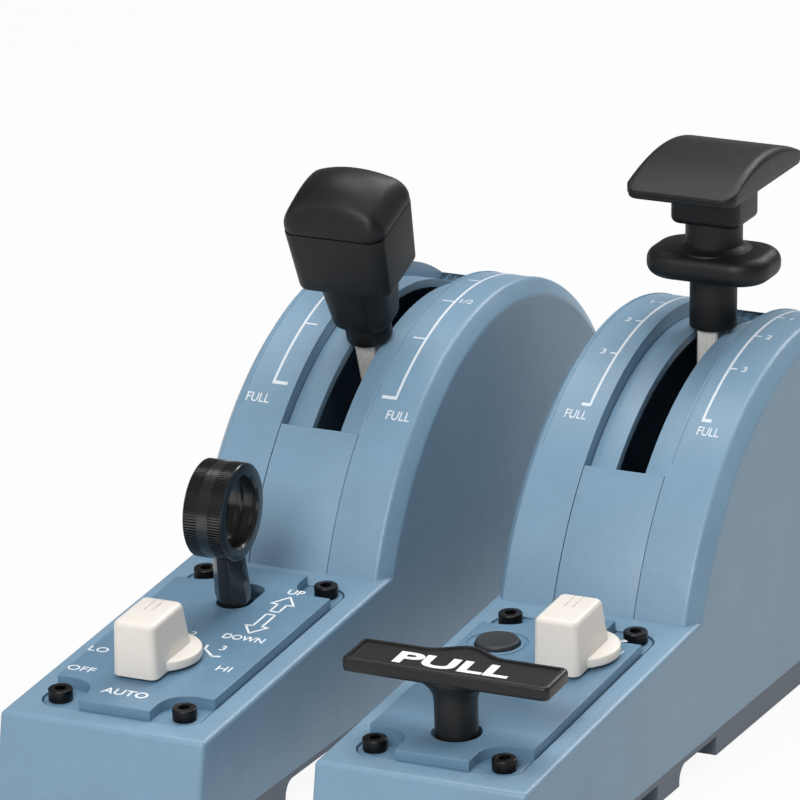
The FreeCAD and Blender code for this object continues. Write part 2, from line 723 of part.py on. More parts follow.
def speed_brake_collar():
    low = (2 * collar_radius, 2 * collar_radius)
    sleeve = rod(collar_radius, sleeve_low, brake_collar_mid)
    flare = tapered((low[0] + 1.0, low[1] + 1.0), brake_collar_top,
                    (brake_collar_mid, brake_body_low), collar_radius - 0.2)
    collar = joined([sleeve, flare])
    return on_lever(collar.cut(arm_bar(200, seat_gap)), brake_lean)


def brake_arm_top():
    return brake_body_high - 4


def speed_brake_handle():
    body = tapered(brake_body_bottom, brake_body_top, (brake_body_low, brake_body_high),
                   brake_body_round)
    body = round_edges(body, 1.4, at_height(brake_body_low))
    return on_lever(body.cut(arm_bar(brake_arm_top(), seat_gap)), brake_lean)


def speed_brake_cap():
    """Pillow-shaped top of the handle, domed from side to side."""
    w, d = brake_body_top
    low = brake_body_high + brake_seam
    neck = plate(centred(w - 1.2), centred(d - 1.2), (brake_body_high, low), brake_body_round - 0.6)
    body = plate(centred(w + 0.4), centred(d + 0.4), (low, brake_cap_top + 1), brake_body_round + 0.2)
    body = body.common(rod(brake_cap_dome, -50, 50, Y_AXIS, (0, 0, brake_cap_top - brake_cap_dome)))
    top_edges = [e for e in body.Edges if e.BoundBox.ZMin > low + 1 and e.Length > 0.5]
    body = body.makeFillet(brake_cap_edge, top_edges)
    return on_lever(joined([neck, body]), brake_lean)


# ---------------------------------------------------------------- flaps lever
def flap_collar():
    """Lifting collar: a sleeve on the bar with a finger flange."""
    sleeve = rod(collar_radius, sleeve_low, flange_low + 1)
    flange = plate(centred(flange_size[0]), centred(flange_size[1]), (flange_low, flange_high),
                   flange_corner)
    flange = round_edges(flange, (flange_high - flange_low) / 2 - 0.1,
                         lambda e: at_height(flange_low)(e) or at_height(flange_high)(e))
    collar = joined([sleeve, flange])
    bore = rod(neck_radius + running_fit, flange_high - flange_bore_depth, flange_high + 1)
    return on_lever(collar.cut(bore).cut(arm_bar(200, running_fit)), flap_lean)


def collar_spring():
    """Coil under the neck that pushes the collar back down."""
    low = flange_high - flange_bore_depth
    high = flange_high - neck_seat
    wire = spring_wire / 2
    height = high - low - spring_wire - 0.1
    helix = Part.makeHelix(height / spring_turns, height, spring_radius - wire)
    helix.translate(Vec(0, 0, low + wire + 0.05))
    start = helix.Edges[0].Vertexes[0].Point
    ring = Part.Wire(Part.makeCircle(wire, start, Y_AXIS))
    coil = Part.Wire(helix.Edges).makePipeShell([ring], True, True)
    return on_lever(coil, flap_lean)


def flap_arm_top():
    return paddle_low - 3


def flap_handle():
    """Neck, block and the thin lower lip of the paddle."""
    neck = rod(neck_radius, flange_high - neck_seat, block_low + 1)
    stock = plate(centred(block_size[0]), centred(block_size[1]), (block_low, paddle_low), block_corner)
    stock = round_edges(stock, 1.6, at_height(block_low))
    inset = 0.5
    lip = plate(centred(paddle_size[0] - 2 * inset), centred(paddle_size[1] - 2 * inset),
                (paddle_low, paddle_low + paddle_lip), paddle_corner - inset)
    handle = joined([neck, stock, lip])
    return on_lever(handle.cut(arm_bar(flap_arm_top(), seat_gap)), flap_lean)


def flap_paddle():
    """Arched palm rest on top of the handle."""
    low = paddle_low + paddle_lip
    body = plate(centred(paddle_size[0]), centred(paddle_size[1]), (low, paddle_top + 1), paddle_corner)
    arch = rod(paddle_arch, -50, 50, X_AXIS, (0, 0, paddle_top - paddle_arch))
    body = body.common(arch)
    top_edges = [e for e in body.Edges if e.BoundBox.ZMin > low + 0.5 and e.Length > 0.5]
    return on_lever(body.makeFillet(paddle_edge, top_edges), flap_lean)


# ---------------------------------------------------------------- landing-gear lever
def in_gear(shape):
    """Turn a gear-lever piece, modelled upright on the origin, onto its pin."""
    placed = shape.copy()
    placed.rotate(Vec(0, 0, 0), X_AXIS, gear_lean)
    placed.translate(Vec(gear_x, gear_pivot_y, gear_pivot_z))
    return on_deck(placed)


def gear_wheel():
    """Knurled ring: two toothed bands, a smooth band between them and a lipped bore."""
    half = gear_wheel_width / 2
    outer, root = gear_wheel_radius, gear_wheel_radius - knurl_depth
    core = rod(root, -half + gear_edge, half - gear_edge, X_AXIS)
    rims = [Part.makeCone(root - gear_edge, root, gear_edge, Vec(-half, 0, 0), X_AXIS),
            Part.makeCone(root, root - gear_edge, gear_edge, Vec(half - gear_edge, 0, 0), X_AXIS)]
    teeth = []
    for start in (-half + gear_edge, half - gear_edge - knurl_band):
        points = []
        for k in range(2 * knurl_teeth):
            angle = math.pi * k / knurl_teeth
            r = root - 0.05 if k % 2 else outer
            points.append((start, r * math.cos(angle), r * math.sin(angle)))
        teeth.append(polygon(points).extrude(Vec(knurl_band, 0, 0)))
    ring = joined([core] + rims + teeth)
    lip = half - gear_lip
    ring = ring.cut(rod(gear_wheel_bore, -half - 1, half + 1, X_AXIS))
    for low, high in ((-lip, -gear_rib / 2), (gear_rib / 2, lip)):
        ring = ring.cut(rod(gear_wheel_groove, low, high, X_AXIS))
    ring.translate(Vec(0, 0, gear_wheel_height))
    return in_gear(ring)


def gear_stem():
    """Faceted stem, from the pin up to the wheel."""
    def facets(x, y, z):
        c = 0.45
        return Part.makePolygon([Vec(*p, z) for p in (
            (-x, -y * c), (-x * c, -y), (x * c, -y), (x, -y * c), (x, y * c), (x * c, y),
            (-x * c, y), (-x, y * c), (-x, -y * c))])
    side_play = 2 * running_fit
    foot = rod(4.0, side_play - gear_cheek_out, gear_cheek_out - side_play, X_AXIS)
    low = -gear_pivot_z
    parts = [foot]
    sections = [(3.3, 2.6, 0), (3.3, 2.8, low + 1), (3.9, 3.3, low + 5.2),
                (3.4, 3.1, low + 18)]
    for a, b in zip(sections, sections[1:]):
        parts.append(Part.makeLoft([facets(*a), facets(*b)], True, True))
    stem = joined(parts).cut(rod(gear_pin_radius + running_fit, -50, 50, X_AXIS))
    centre = (0, 0, gear_wheel_height)
    smooth = gear_wheel_width / 2 - gear_edge - knurl_band - running_fit
    stem = stem.cut(rod(gear_wheel_radius - knurl_depth, -50, 50, X_AXIS, centre))
    for side in (-1, 1):
        x = sorted((side * smooth, side * gear_wheel_width))
        stem = stem.cut(rod(gear_wheel_radius + 0.01, x[0], x[1], X_AXIS, centre))
    return in_gear(stem)


def gear_bracket():
    """Carrier under the panel for the gear lever's pin."""
    out = gear_cheek_out
    x = (gear_x - out - gear_cheek, gear_x + out + gear_cheek)
    y = (gear_slot[0] - 1.5, gear_slot[1] + 2)
    top = panel_underside()
    deck = block(x, y, (top - 1.5, top))
    deck = deck.cut(slot_plate(gear_x, gear_slot_half, gear_slot, (top - 2, top + 1)))
    parts = [deck]
    for side in (-1, 1):
        cheek_range = sorted((gear_x + side * out, gear_x + side * (out + gear_cheek)))
        parts.append(block(cheek_range, y, (gear_pivot_z - 3.5, top)))
    body = joined(parts)
    pin = rod(gear_pin_radius, -50, 50, X_AXIS, (0, gear_pivot_y, gear_pivot_z))
    return on_deck(body.cut(pin))


def gear_pin():
    out = gear_cheek_out + gear_cheek
    return on_deck(rod(gear_pin_radius, gear_x - out, gear_x + out, X_AXIS,
                       (0, gear_pivot_y, gear_pivot_z)))


def gear_switch():
    """Position switch on the outer face of the bracket."""
    x = gear_x + gear_cheek_out + gear_cheek
    body = block((x, x + 6), (gear_pivot_y - 3, gear_pivot_y + 9.5), (gear_pivot_z - 1, gear_pivot_z + 6))
    legs = [block((x + 2.5, x + 3.5), (gear_pivot_y - 1.5 + 4.5 * k, gear_pivot_y + 4.5 * k),
                  (gear_pivot_z - 3, gear_pivot_z)) for k in range(3)]
    return on_deck(joined([body] + legs))


# ---------------------------------------------------------------- selector knobs
def knob_base():
    return panel_rise + knob_gap


def selector_knob(x, y):
    """Pointer knob: a round base and a tall block that overhangs it at the front."""
    low, high = knob_base(), knob_base() + knob_disc_height
    disc = rod(knob_disc_radius, low, high)
    disc = disc.makeChamfer(0.4, [e for e in disc.Edges if at_height(high)(e)])
    wires = []
    for taper, z in ((0.0, low), (knob_taper, knob_top)):
        half = knob_width / 2 - taper
        wires.append(rounded_wire((-half, half), (-knob_front + taper, knob_rear - 2 * taper),
                                  knob_corner, z))
    grip = Part.makeLoft(wires, True, True)
    grip = round_edges(grip, knob_corner - 0.4, at_height(knob_top))
    knob = joined([disc, grip]).cut(rod(spindle_radius, low - 1, spindle_high))
    knob.translate(Vec(x, y, 0))
    return on_deck(knob)


def selector_spindle(x, y):
    spindle = rod(spindle_radius, spindle_low, spindle_high)
    flat = block((-10, 10), (spindle_radius - 0.7, 10), (knob_base(), 50))
    spindle = spindle.cut(flat)
    spindle.translate(Vec(x, y, 0))
    return on_deck(spindle)


def selector_switch(x, y):
    """Rotary switch that hangs from the panel by its neck."""
    top = panel_underside()
    can = plate(centred(switch_size), centred(switch_size), (switch_low, top), 1.5)
    neck = rod(switch_neck, top, panel_rise)
    pins = [block((4.5 * k - 0.4, 4.5 * k + 0.4), (s * 5 - 0.3, s * 5 + 0.3), (switch_low - 2.2, switch_low))
            for k in (-1, 0, 1) for s in (-1, 1)]
    switch = joined([can, neck] + pins)
    switch = switch.cut(rod(spindle_radius + running_fit, spindle_low - 0.2, 50))
    switch.translate(Vec(x, y, 0))
    return on_deck(switch)


# ---------------------------------------------------------------- parking-brake handle
def at_handle(shape):
    placed = shape.copy()
    placed.translate(Vec(0, handle_y, 0))
    return on_deck(placed)


def park_handle():
    """T-shaped grip with a flared stem and a sunk top face."""
    bar = plate((-handle_half, handle_half), (-handle_front, handle_rear),
                (handle_low, handle_high), handle_corner)
    boss = rod(handle_boss, handle_low, handle_high)
    boss = boss.cut(block((-20, 20), (-20, -handle_front), (0, 50)))
    grip = joined([bar, boss])
    grip = round_edges(grip, handle_round, lambda e: at_height(handle_low)(e) or at_height(handle_high)(e))
    b = handle_border + handle_round / 2
    sunk = plate((-handle_half + b, handle_half - b), (-handle_front + b, handle_rear - b),
                 (handle_high - handle_recess, handle_high + 1), handle_corner)
    grip = grip.cut(sunk)
    stem = rod(stem_radius, stem_low, handle_low + 0.5)
    top_r, low_z = stem_radius + stem_flare, handle_low - stem_flare
    arc = Part.Arc(Vec(stem_radius, 0, low_z),
                   Vec(top_r - stem_flare * math.cos(math.pi / 4), 0,
                       low_z + stem_flare * math.sin(math.pi / 4)),
                   Vec(top_r, 0, handle_low)).toShape()
    lines = [Part.makeLine(Vec(top_r, 0, handle_low), Vec(0, 0, handle_low)),
             Part.makeLine(Vec(0, 0, handle_low), Vec(0, 0, low_z)),
             Part.makeLine(Vec(0, 0, low_z), Vec(stem_radius, 0, low_z))]
    flare = Part.Face(Part.Wire([arc] + lines)).revolve(Vec(0, 0, 0), Z_AXIS, 360)
    flare = flare.common(block((-20, 20), (-handle_front + handle_round, 20), (0, handle_low)))
    handle = joined([grip, flare, stem])
    bore = rod(plunger_radius + running_fit, stem_low - 1, plunger_top + running_fit)
    return at_handle(handle.cut(bore))


def guide_shoulder():
    """Where the plunger's collar rests in the guide."""
    return stem_low - plunger_collar_height - running_fit


def park_plunger():
    """Pin that the handle turns on and lifts with, and the clip that keeps it in its guide."""
    clip_top = guide_low - handle_lift - running_fit
    pin = rod(plunger_radius, clip_top - clip_thickness - 0.6, plunger_top)
    collar = rod(plunger_collar, stem_low - plunger_collar_height, stem_low - running_fit)
    clip = tube(clip_radius, plunger_radius, clip_top - clip_thickness, clip_top)
    clip = clip.cut(block((0, clip_radius + 1), (-1.2, 1.2), (clip_top - 5, clip_top + 1)))
    return at_handle(group([joined([pin, collar]), clip]))


def park_guide():
    """Guide tube under the panel for the stem and the plunger."""
    top = panel_underside()
    bore = stem_radius + running_fit
    outer = bore + guide_wall
    flange = plate(centred(2 * outer + 2), centred(2 * outer + 1), (top - 1.5, top), 2.0)
    body = joined([rod(outer, guide_low, top), flange]).cut(rod(bore, guide_shoulder(), 50))
    return at_handle(body.cut(rod(plunger_radius + running_fit, guide_low - 1, 50)))


def park_switch():
    """Position switch beside the guide tube."""
    x = stem_radius + running_fit + guide_wall
    body = block((x, x + 6), centred(12.5), (guide_low + 1, guide_low + 8))
    legs = [block((x + 2.5, x + 3.5), (4.5 * k - 0.7, 4.5 * k + 0.7), (guide_low - 1.5, guide_low + 2))
            for k in (-1, 0, 1)]
    return at_handle(joined([body] + legs))


# ---------------------------------------------------------------- push button
def at_button(shape):
    placed = shape.copy()
    placed.translate(Vec(button_x, button_y, 0))
    return on_deck(placed)


def button_cap():
    cap = rod(button_radius, button_skirt, button_top)
    cap = round_edges(cap, 0.6, at_height(button_top))
    return at_button(joined([cap, rod(button_stem_radius, button_stem_low, button_skirt + 1)]))


def button_switch():
    """Cup that guides the cap, with the contact block below it."""
    top = panel_underside()
    outer = button_hole + button_body_wall
    body = rod(outer, button_body_low, top)
    floor = button_skirt - button_travel - 0.2
    body = body.cut(rod(button_radius + running_fit, floor, top + 1))
    return at_button(body.cut(rod(button_stem_radius + running_fit, button_stem_low - button_travel - 0.3,
                                  floor + 1)))


# ---------------------------------------------------------------- panels of the two modules
def left_panel_holes():
    slot = slot_plate(gear_x, gear_slot_half, gear_slot, (-10, 10))
    return [slot, rod(switch_neck + seat_gap, -10, 10, at=(brake_knob_x, brake_knob_y, 0))]


def right_panel_holes():
    groove = tube(button_ring[1], button_ring[0], panel_rise - 0.3, panel_rise + 1,
                  at=(button_x, button_y, 0))
    return [rod(stem_hole, -10, 10, at=(0, handle_y, 0)), groove,
            rod(button_hole, -10, 10, at=(button_x, button_y, 0)),
            rod(switch_neck + seat_gap, -10, 10, at=(trim_knob_x, trim_knob_y, 0))]


# ---------------------------------------------------------------- the whole
def shared_pieces(side, lean, detents, holes):
    """Pieces that both modules have, by node name."""
    return {
        side + "_housing": housing(),
        side + "_slot_cover": slot_cover(),
        side + "_base_tray": base_tray(),
        side + "_fixing_screws": fixing_screws(),
        side + "_rubber_feet": rubber_feet(),
        side + "_control_panel": control_panel(holes),
        side + "_panel_screws": panel_screws(),
        side + "_lever_frame": lever_frame(),
        side + "_bushes": bushes(),
        side + "_pivot_shaft": pivot_shaft(lean),
        side + "_lever_hub": lever_hub(lean),
        side + "_spring_washers": washer_stack(),
        side + "_detent_plate": detent_plate(detents),
        side + "_detent_roller": detent_roller(lean),
        side + "_sensor_magnet": sensor_magnet(lean),
        side + "_circuit_boards": group([sensor_board(), main_circuit()]),
        side + "_rear_socket": rear_socket()}


def left_module():
    pieces = shared_pieces("left", brake_lean, brake_detents, left_panel_holes())
    pieces.update({
        "speed_brake_arm": lever_arm(brake_arm_top(), brake_lean),
        "speed_brake_collar": speed_brake_collar(),
        "speed_brake_handle": speed_brake_handle(),
        "speed_brake_cap": speed_brake_cap(),
        "gear_wheel": gear_wheel(),
        "gear_stem": gear_stem(),
        "gear_bracket": gear_bracket(),
        "gear_pin": gear_pin(),
        "gear_switch": gear_switch(),
        "auto_brake_knob": selector_knob(brake_knob_x, brake_knob_y),
        "auto_brake_spindle": selector_spindle(brake_knob_x, brake_knob_y),
        "auto_brake_switch": selector_switch(brake_knob_x, brake_knob_y)})
    return pieces


def right_module():
    pieces = shared_pieces("right", flap_lean, flap_detents, right_panel_holes())
    pieces.update({
        "flap_arm": lever_arm(flap_arm_top(), flap_lean),
        "flap_collar": flap_collar(),
        "collar_spring": collar_spring(),
        "flap_handle": flap_handle(),
        "flap_paddle": flap_paddle(),
        "park_handle": park_handle(),
        "park_plunger": park_plunger(),
        "park_guide": park_guide(),
        "park_switch": park_switch(),
        "trim_knob": selector_knob(trim_knob_x, trim_knob_y),
        "trim_spindle": selector_spindle(trim_knob_x, trim_knob_y),
        "trim_switch": selector_switch(trim_knob_x, trim_knob_y),
        "button_cap": button_cap(),
        "button_switch": button_switch()})
    return pieces


def write_parts():
    os.makedirs("parts", exist_ok=True)
    for side, pieces in ((-1, left_module()), (1, right_module())):
        for name, shape in pieces.items():
            placed = shape.copy()
            placed.translate(Vec(side * module_pitch / 2, -middle_y, 0))
            placed.exportStep(os.path.join("parts", name + ".step"))
            print(name, len(placed.Solids), "solids,", round(placed.Volume), "mm3,",
                  "valid" if placed.isValid() else "NOT VALID")


write_parts()
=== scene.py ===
# %% [markdown]
# # A two-module throttle quadrant
# Two blue lever modules stand side by side. The left one has a speed-brake lever, a small lever with a
# knurled wheel and an ivory selector. The right one has a flaps lever with a lifting collar, a T-shaped
# parking grip, a second selector and a push button. The solid parts come from a imported CAD model, and
# this lesson dresses them: most visible pieces are built again with soft edges, fine detail and a finish.

import json
import math

import bmesh
import bpy
from mathutils import Matrix, Vector


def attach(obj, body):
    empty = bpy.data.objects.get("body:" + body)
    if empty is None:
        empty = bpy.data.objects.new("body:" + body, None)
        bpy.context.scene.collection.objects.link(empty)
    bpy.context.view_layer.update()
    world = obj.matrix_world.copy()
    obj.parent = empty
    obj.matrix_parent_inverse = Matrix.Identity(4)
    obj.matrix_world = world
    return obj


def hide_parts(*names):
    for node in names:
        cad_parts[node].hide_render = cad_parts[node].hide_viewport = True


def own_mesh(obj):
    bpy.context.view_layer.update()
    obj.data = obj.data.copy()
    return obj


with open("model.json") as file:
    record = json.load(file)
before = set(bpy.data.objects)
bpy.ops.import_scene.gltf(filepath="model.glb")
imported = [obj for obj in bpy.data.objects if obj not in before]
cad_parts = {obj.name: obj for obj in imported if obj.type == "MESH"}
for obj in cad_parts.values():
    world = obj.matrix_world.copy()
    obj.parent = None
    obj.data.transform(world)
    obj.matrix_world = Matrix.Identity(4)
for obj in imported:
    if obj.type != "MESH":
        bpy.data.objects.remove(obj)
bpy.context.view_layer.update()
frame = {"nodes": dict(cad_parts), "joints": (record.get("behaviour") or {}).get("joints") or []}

# %% [markdown]
# ## Where things stand
# The CAD model tells where both lever axes are. Every other size here is in millimetres, in a module's
# own frame: x from its middle, y to the rear from the front edge of the sloping deck, z up from the
# table. One matrix brings a finished piece from there to the shared frame in metres, so a piece is
# modelled at a size that is easy to read and placed once, at the end.

# %% Frames of the modules, the deck and the levers
axis_y, axis_z = 166.45, 10.9
deck_height, deck_tilt = 28.2, math.radians(4.3)
joints = {joint["name"]: joint for joint in frame["joints"]}
lever_axis = {"left": Vector(joints["speed_brake"]["pos_m"]), "right": Vector(joints["flaps"]["pos_m"])}


def in_module(side):
    """From a module's own frame in millimetres to the shared frame in metres."""
    pivot = lever_axis[side]
    corner = Vector((pivot.x, pivot.y - axis_y / 1000, pivot.z - axis_z / 1000))
    return Matrix.Translation(corner) @ Matrix.Scale(0.001, 4)


def on_deck(side, x=0.0, y=0.0):
    """A point of the sloping deck: x across, y along the slope, z square to it."""
    slope = Matrix.Translation((0, 0, deck_height)) @ Matrix.Rotation(deck_tilt, 4, "X")
    return in_module(side) @ slope @ Matrix.Translation((x, y, 0))


def on_lever(side, degrees):
    """The lever axis, with z along a lever that leans back by some degrees."""
    lean = Matrix.Rotation(math.radians(degrees), 4, "X")
    return in_module(side) @ Matrix.Translation((0, axis_y, axis_z)) @ lean


brake_lean, flap_lean = 20.8, 0.5
print("lever axes:", {side: [round(v, 4) for v in pivot] for side, pivot in lever_axis.items()})

# %% [markdown]
# ## The tools of the bench
# A piece starts as a primitive, is shaped in edit mode and ends with a modifier or two. Blender's
# operators act on whatever is selected, so each helper first selects exactly what it means to change:
# faces and edges are picked by where they are, which is what a hand would do with a box select.

# %% Selecting and applying
def only(*objs):
    bpy.ops.object.select_all(action="DESELECT")
    for obj in objs:
        obj.select_set(True)
    bpy.context.view_layer.objects.active = objs[0]


def edit(obj, kind="VERT", action="SELECT"):
    """Enter edit mode on one piece, with all of it or none of it selected, and give its mesh."""
    only(obj)
    bpy.ops.object.mode_set(mode="EDIT")
    bpy.ops.mesh.select_mode(type=kind)
    bpy.ops.mesh.select_all(action=action)
    return bmesh.from_edit_mesh(obj.data)


def pick(obj, test):
    """Enter edit mode with just the points selected that pass a test."""
    mesh = edit(obj, "VERT", "DESELECT")
    for vertex in mesh.verts:
        if test(vertex.co):
            vertex.select_set(True)
    mesh.select_flush_mode()
    bmesh.update_edit_mesh(obj.data)


def done():
    bpy.ops.object.mode_set(mode="OBJECT")


def apply_modifier(obj, kind, **settings):
    only(obj)
    modifier = obj.modifiers.new(kind.title(), kind)
    for key, value in settings.items():
        setattr(modifier, key, value)
    bpy.ops.object.modifier_apply(modifier=modifier.name)


def remove(obj):
    bpy.data.objects.remove(obj, do_unlink=True)


print("bench ready")

# %% [markdown]
# Three starting shapes are enough for nearly everything: a box, a rod, and a slab with round upright
# corners, which is a box whose upright edges are bevelled. Each is made at its size and place, and its
# transform is applied at once, so that every later number is a plain distance in millimetres.

# %% Primitives at their size and place
def block(name, x, y, z):
    bpy.ops.object.select_all(action="DESELECT")
    bpy.ops.mesh.primitive_cube_add(size=1, location=[(a[0] + a[1]) / 2 for a in (x, y, z)])
    obj = bpy.context.object
    obj.name = name
    obj.scale = [a[1] - a[0] for a in (x, y, z)]
    bpy.ops.object.transform_apply(location=True, rotation=True, scale=True)
    return obj


def rod(name, radius, low, high, axis="Z", at=(0, 0, 0), sides=96):
    """Cylinder along one axis through a point."""
    along = Vector({"X": (1, 0, 0), "Z": (0, 0, 1)}[axis])
    turn = {"X": (0, math.pi / 2, 0), "Z": (0, 0, 0)}[axis]
    bpy.ops.object.select_all(action="DESELECT")
    bpy.ops.mesh.primitive_cylinder_add(vertices=sides, radius=radius, depth=high - low, rotation=turn,
                                        location=Vector(at) + along * (low + high) / 2)
    obj = bpy.context.object
    obj.name = name
    bpy.ops.object.transform_apply(location=True, rotation=True, scale=True)
    return obj


def bevel_edges(obj, test, width, steps):
    """Round the edges whose two ends pass a test."""
    mesh = edit(obj, "EDGE", "DESELECT")
    for edge in mesh.edges:
        edge.select_set(bool(test(edge.verts[0].co, edge.verts[1].co)))
    bmesh.update_edit_mesh(obj.data)
    bpy.ops.mesh.bevel(offset=width, segments=steps, profile=0.5, affect="EDGES")
    done()
    return obj


def slab(name, x, y, z, corner, steps=10):
    """Plate with round corners: a block whose upright edges are bevelled."""
    return bevel_edges(block(name, x, y, z), lambda a, b: abs(a.z - b.z) > 1e-4, corner, steps)


print("box, rod and slab ready")

# %% [markdown]
# ### Drawing an outline
# Some pieces are turned on a lathe or cut from a profile. The outline is drawn as by hand: one vertex,
# extruded from point to point, then closed with a face. It is extruded for a profile and spun for a
# turned shape. Spin leaves two rings of points on top of each other, so doubles are merged after it and
# the normals are recalculated to point outwards.

# %% Outlines, extrusions and lathe work
def outline(name, points, closed=True):
    bpy.ops.object.select_all(action="DESELECT")
    bpy.ops.mesh.primitive_plane_add(size=0.01, location=(0, 0, 0))
    obj = bpy.context.object
    obj.name = name
    bpy.ops.object.mode_set(mode="EDIT")
    bpy.ops.mesh.select_mode(type="VERT")
    bpy.ops.mesh.select_all(action="SELECT")
    bpy.ops.mesh.merge(type="CENTER")
    bpy.ops.transform.translate(value=points[0])
    for here, there in zip(points, points[1:]):
        bpy.ops.mesh.extrude_region_move(TRANSFORM_OT_translate={"value": Vector(there) - Vector(here)})
    bpy.ops.mesh.select_all(action="SELECT")
    if closed:
        bpy.ops.mesh.edge_face_add()
    done()
    return obj


def outward(obj):
    """Merge doubled points, and only then turn the faces outwards."""
    edit(obj)
    bpy.ops.mesh.remove_doubles(threshold=0.003)
    bpy.ops.mesh.normals_make_consistent(inside=False)
    done()
    return obj


def extruded(name, points, travel):
    """Solid from a flat outline pushed along a vector."""
    obj = outline(name, points)
    edit(obj)
    bpy.ops.mesh.extrude_region_move(TRANSFORM_OT_translate={"value": travel})
    done()
    return outward(obj)


def lathe(name, section, steps=96, axis="Z", centre=(0, 0, 0)):
    """Turned shape from (distance along the axis, radius) points.

    The outline starts and ends on the axis, or it ends where it starts. Either way the shape is closed.
    """
    points = [(r, 0, a) if axis == "Z" else (a, r, 0) for a, r in section]
    obj = outline(name, [Vector(p) + Vector(centre) for p in points], closed=False)
    edit(obj)
    bpy.ops.mesh.spin(steps=steps, angle=2 * math.pi, center=centre,
                      axis=(0, 0, 1) if axis == "Z" else (1, 0, 0))
    done()
    return outward(obj)


def arc_band(name, section, low, high, steps):
    """Part of a ring about the lever axis, from a closed (x, radius) section, between two angles.

    Angles count from the rear over the top. In a script, spin turns the other way about, so its angle
    is negative.
    """
    start = math.radians(low)
    turned = [(x, axis_y + r * math.cos(start), axis_z + r * math.sin(start)) for x, r in section]
    obj = outline(name, turned)
    edit(obj)
    bpy.ops.mesh.spin(steps=steps, angle=math.radians(low - high), center=(0, axis_y, axis_z),
                      axis=(1, 0, 0))
    done()
    return outward(obj)


print("outlines and lathe ready")

# %% [markdown]
# ### Cutting, joining and softening
# A hole is a cutter taken away by a Boolean modifier, and two bodies that touch become one by a union.
# No real edge is sharp: a Bevel modifier that works by angle rounds what is left, and shading by angle
# keeps flat faces flat and round ones round. A Boolean can leave doubled points, and where two shapes
# share a plane it can leave a loose face. Both are cleared each time, because the next Boolean is only
# reliable on a closed shape.

# %% Booleans, bevels and placing
def drop_stray(obj):
    """Delete faces that hang on no other face, which a cut along a shared plane can leave."""
    mesh = edit(obj)
    stray = [face for face in mesh.faces if all(edge.is_boundary for edge in face.edges)]
    bmesh.ops.delete(mesh, geom=stray, context="FACES")
    bmesh.update_edit_mesh(obj.data)
    done()
    return obj


def combine(obj, other, operation, keep=False):
    apply_modifier(obj, "BOOLEAN", object=other, operation=operation, solver="EXACT")
    if not keep:
        remove(other)
    edit(obj)
    bpy.ops.mesh.remove_doubles(threshold=0.002)
    bpy.ops.mesh.dissolve_degenerate(threshold=0.002)
    done()
    return drop_stray(obj)


def cut(obj, *cutters):
    for cutter in cutters:
        combine(obj, cutter, "DIFFERENCE")
    return obj


def union(obj, *others):
    for other in others:
        combine(obj, other, "UNION")
    return obj


def together(obj, *others):
    """Join pieces into one object without fusing their faces."""
    only(obj, *others)
    bpy.ops.object.join()
    return obj


def soften(obj, width, steps, degrees):
    """Round every edge that is sharper than an angle."""
    apply_modifier(obj, "BEVEL", width=width, segments=steps, limit_method="ANGLE",
                   angle_limit=math.radians(degrees), harden_normals=False, miter_outer="MITER_ARC")
    return obj


def duplicate(obj, name):
    twin = obj.copy()
    twin.data = obj.data.copy()
    twin.name = name
    bpy.context.scene.collection.objects.link(twin)
    return twin


def settle(obj, matrix):
    """Move a piece by a matrix and take the move into its mesh."""
    only(obj)
    obj.matrix_world = matrix
    bpy.ops.object.transform_apply(location=True, rotation=True, scale=True)
    return obj


def place(obj, matrix, smooth=32):
    """Settle a finished piece and shade it smooth up to an angle in degrees."""
    settle(obj, matrix)
    bpy.ops.object.shade_smooth_by_angle(angle=math.radians(smooth))
    return obj


print("cutting and placing ready")

# %% [markdown]
# ## Camera
# The view is from the front right and a little above, from far away with a long lens, so that upright
# edges stay nearly parallel.

# %% Camera at its place
def add_camera():
    bpy.ops.object.select_all(action="DESELECT")
    bpy.ops.object.camera_add(location=(0.59675, -1.356542, 0.5366))
    camera = bpy.context.object
    camera.name = "studio_camera"
    forward = Vector((-0.39537, 0.86884, -0.29800))
    camera.rotation_euler = forward.to_track_quat("-Z", "Y").to_euler()
    camera.data.lens = 304.62
    camera.data.sensor_width = 36
    camera.data.shift_x = 0.00034
    camera.data.shift_y = 0.00098
    camera.data.clip_end = 20
    bpy.context.scene.camera = camera
    return camera


camera = add_camera()
print("camera at", [round(v, 3) for v in camera.location])

# %% [markdown]
# ## Finishes
# Nearly everything is moulded plastic. Real mouldings carry a fine spark-eroded grain that scatters
# the light, and their colour drifts a little from place to place. A noise at grain size drives the
# bump and the roughness, and a much larger, weaker noise drifts the colour. All noises read Object
# coordinates, in metres, so they stay on a piece when it moves.

# %% A helper for nodes
def new_material(name):
    material = bpy.data.materials.new(name)
    material.use_nodes = True
    nodes = material.node_tree.nodes
    return material, nodes, material.node_tree.links, nodes["Principled BSDF"]


def noise(nodes, links, size_mm, detail, roughness=0.5, stretch=(1, 1, 1)):
    """Noise whose blobs are about size_mm across, on Object coordinates."""
    where = nodes.new("ShaderNodeTexCoord")
    mapping = nodes.new("ShaderNodeMapping")
    mapping.inputs["Scale"].default_value = stretch
    texture = nodes.new("ShaderNodeTexNoise")
    texture.inputs["Scale"].default_value = 1000.0 / size_mm
    texture.inputs["Detail"].default_value = detail
    texture.inputs["Roughness"].default_value = roughness
    links.new(where.outputs["Object"], mapping.inputs["Vector"])
    links.new(mapping.outputs["Vector"], texture.inputs["Vector"])
    return texture.outputs["Fac"]


def between(nodes, links, factor, low, high):
    """Value that runs from low to high as a noise goes over its usual range."""
    remap = nodes.new("ShaderNodeMapRange")
    remap.inputs["From Min"].default_value = 0.3
    remap.inputs["From Max"].default_value = 0.7
    remap.inputs["To Min"].default_value = low
    remap.inputs["To Max"].default_value = high
    links.new(factor, remap.inputs["Value"])
    return remap.outputs["Result"]


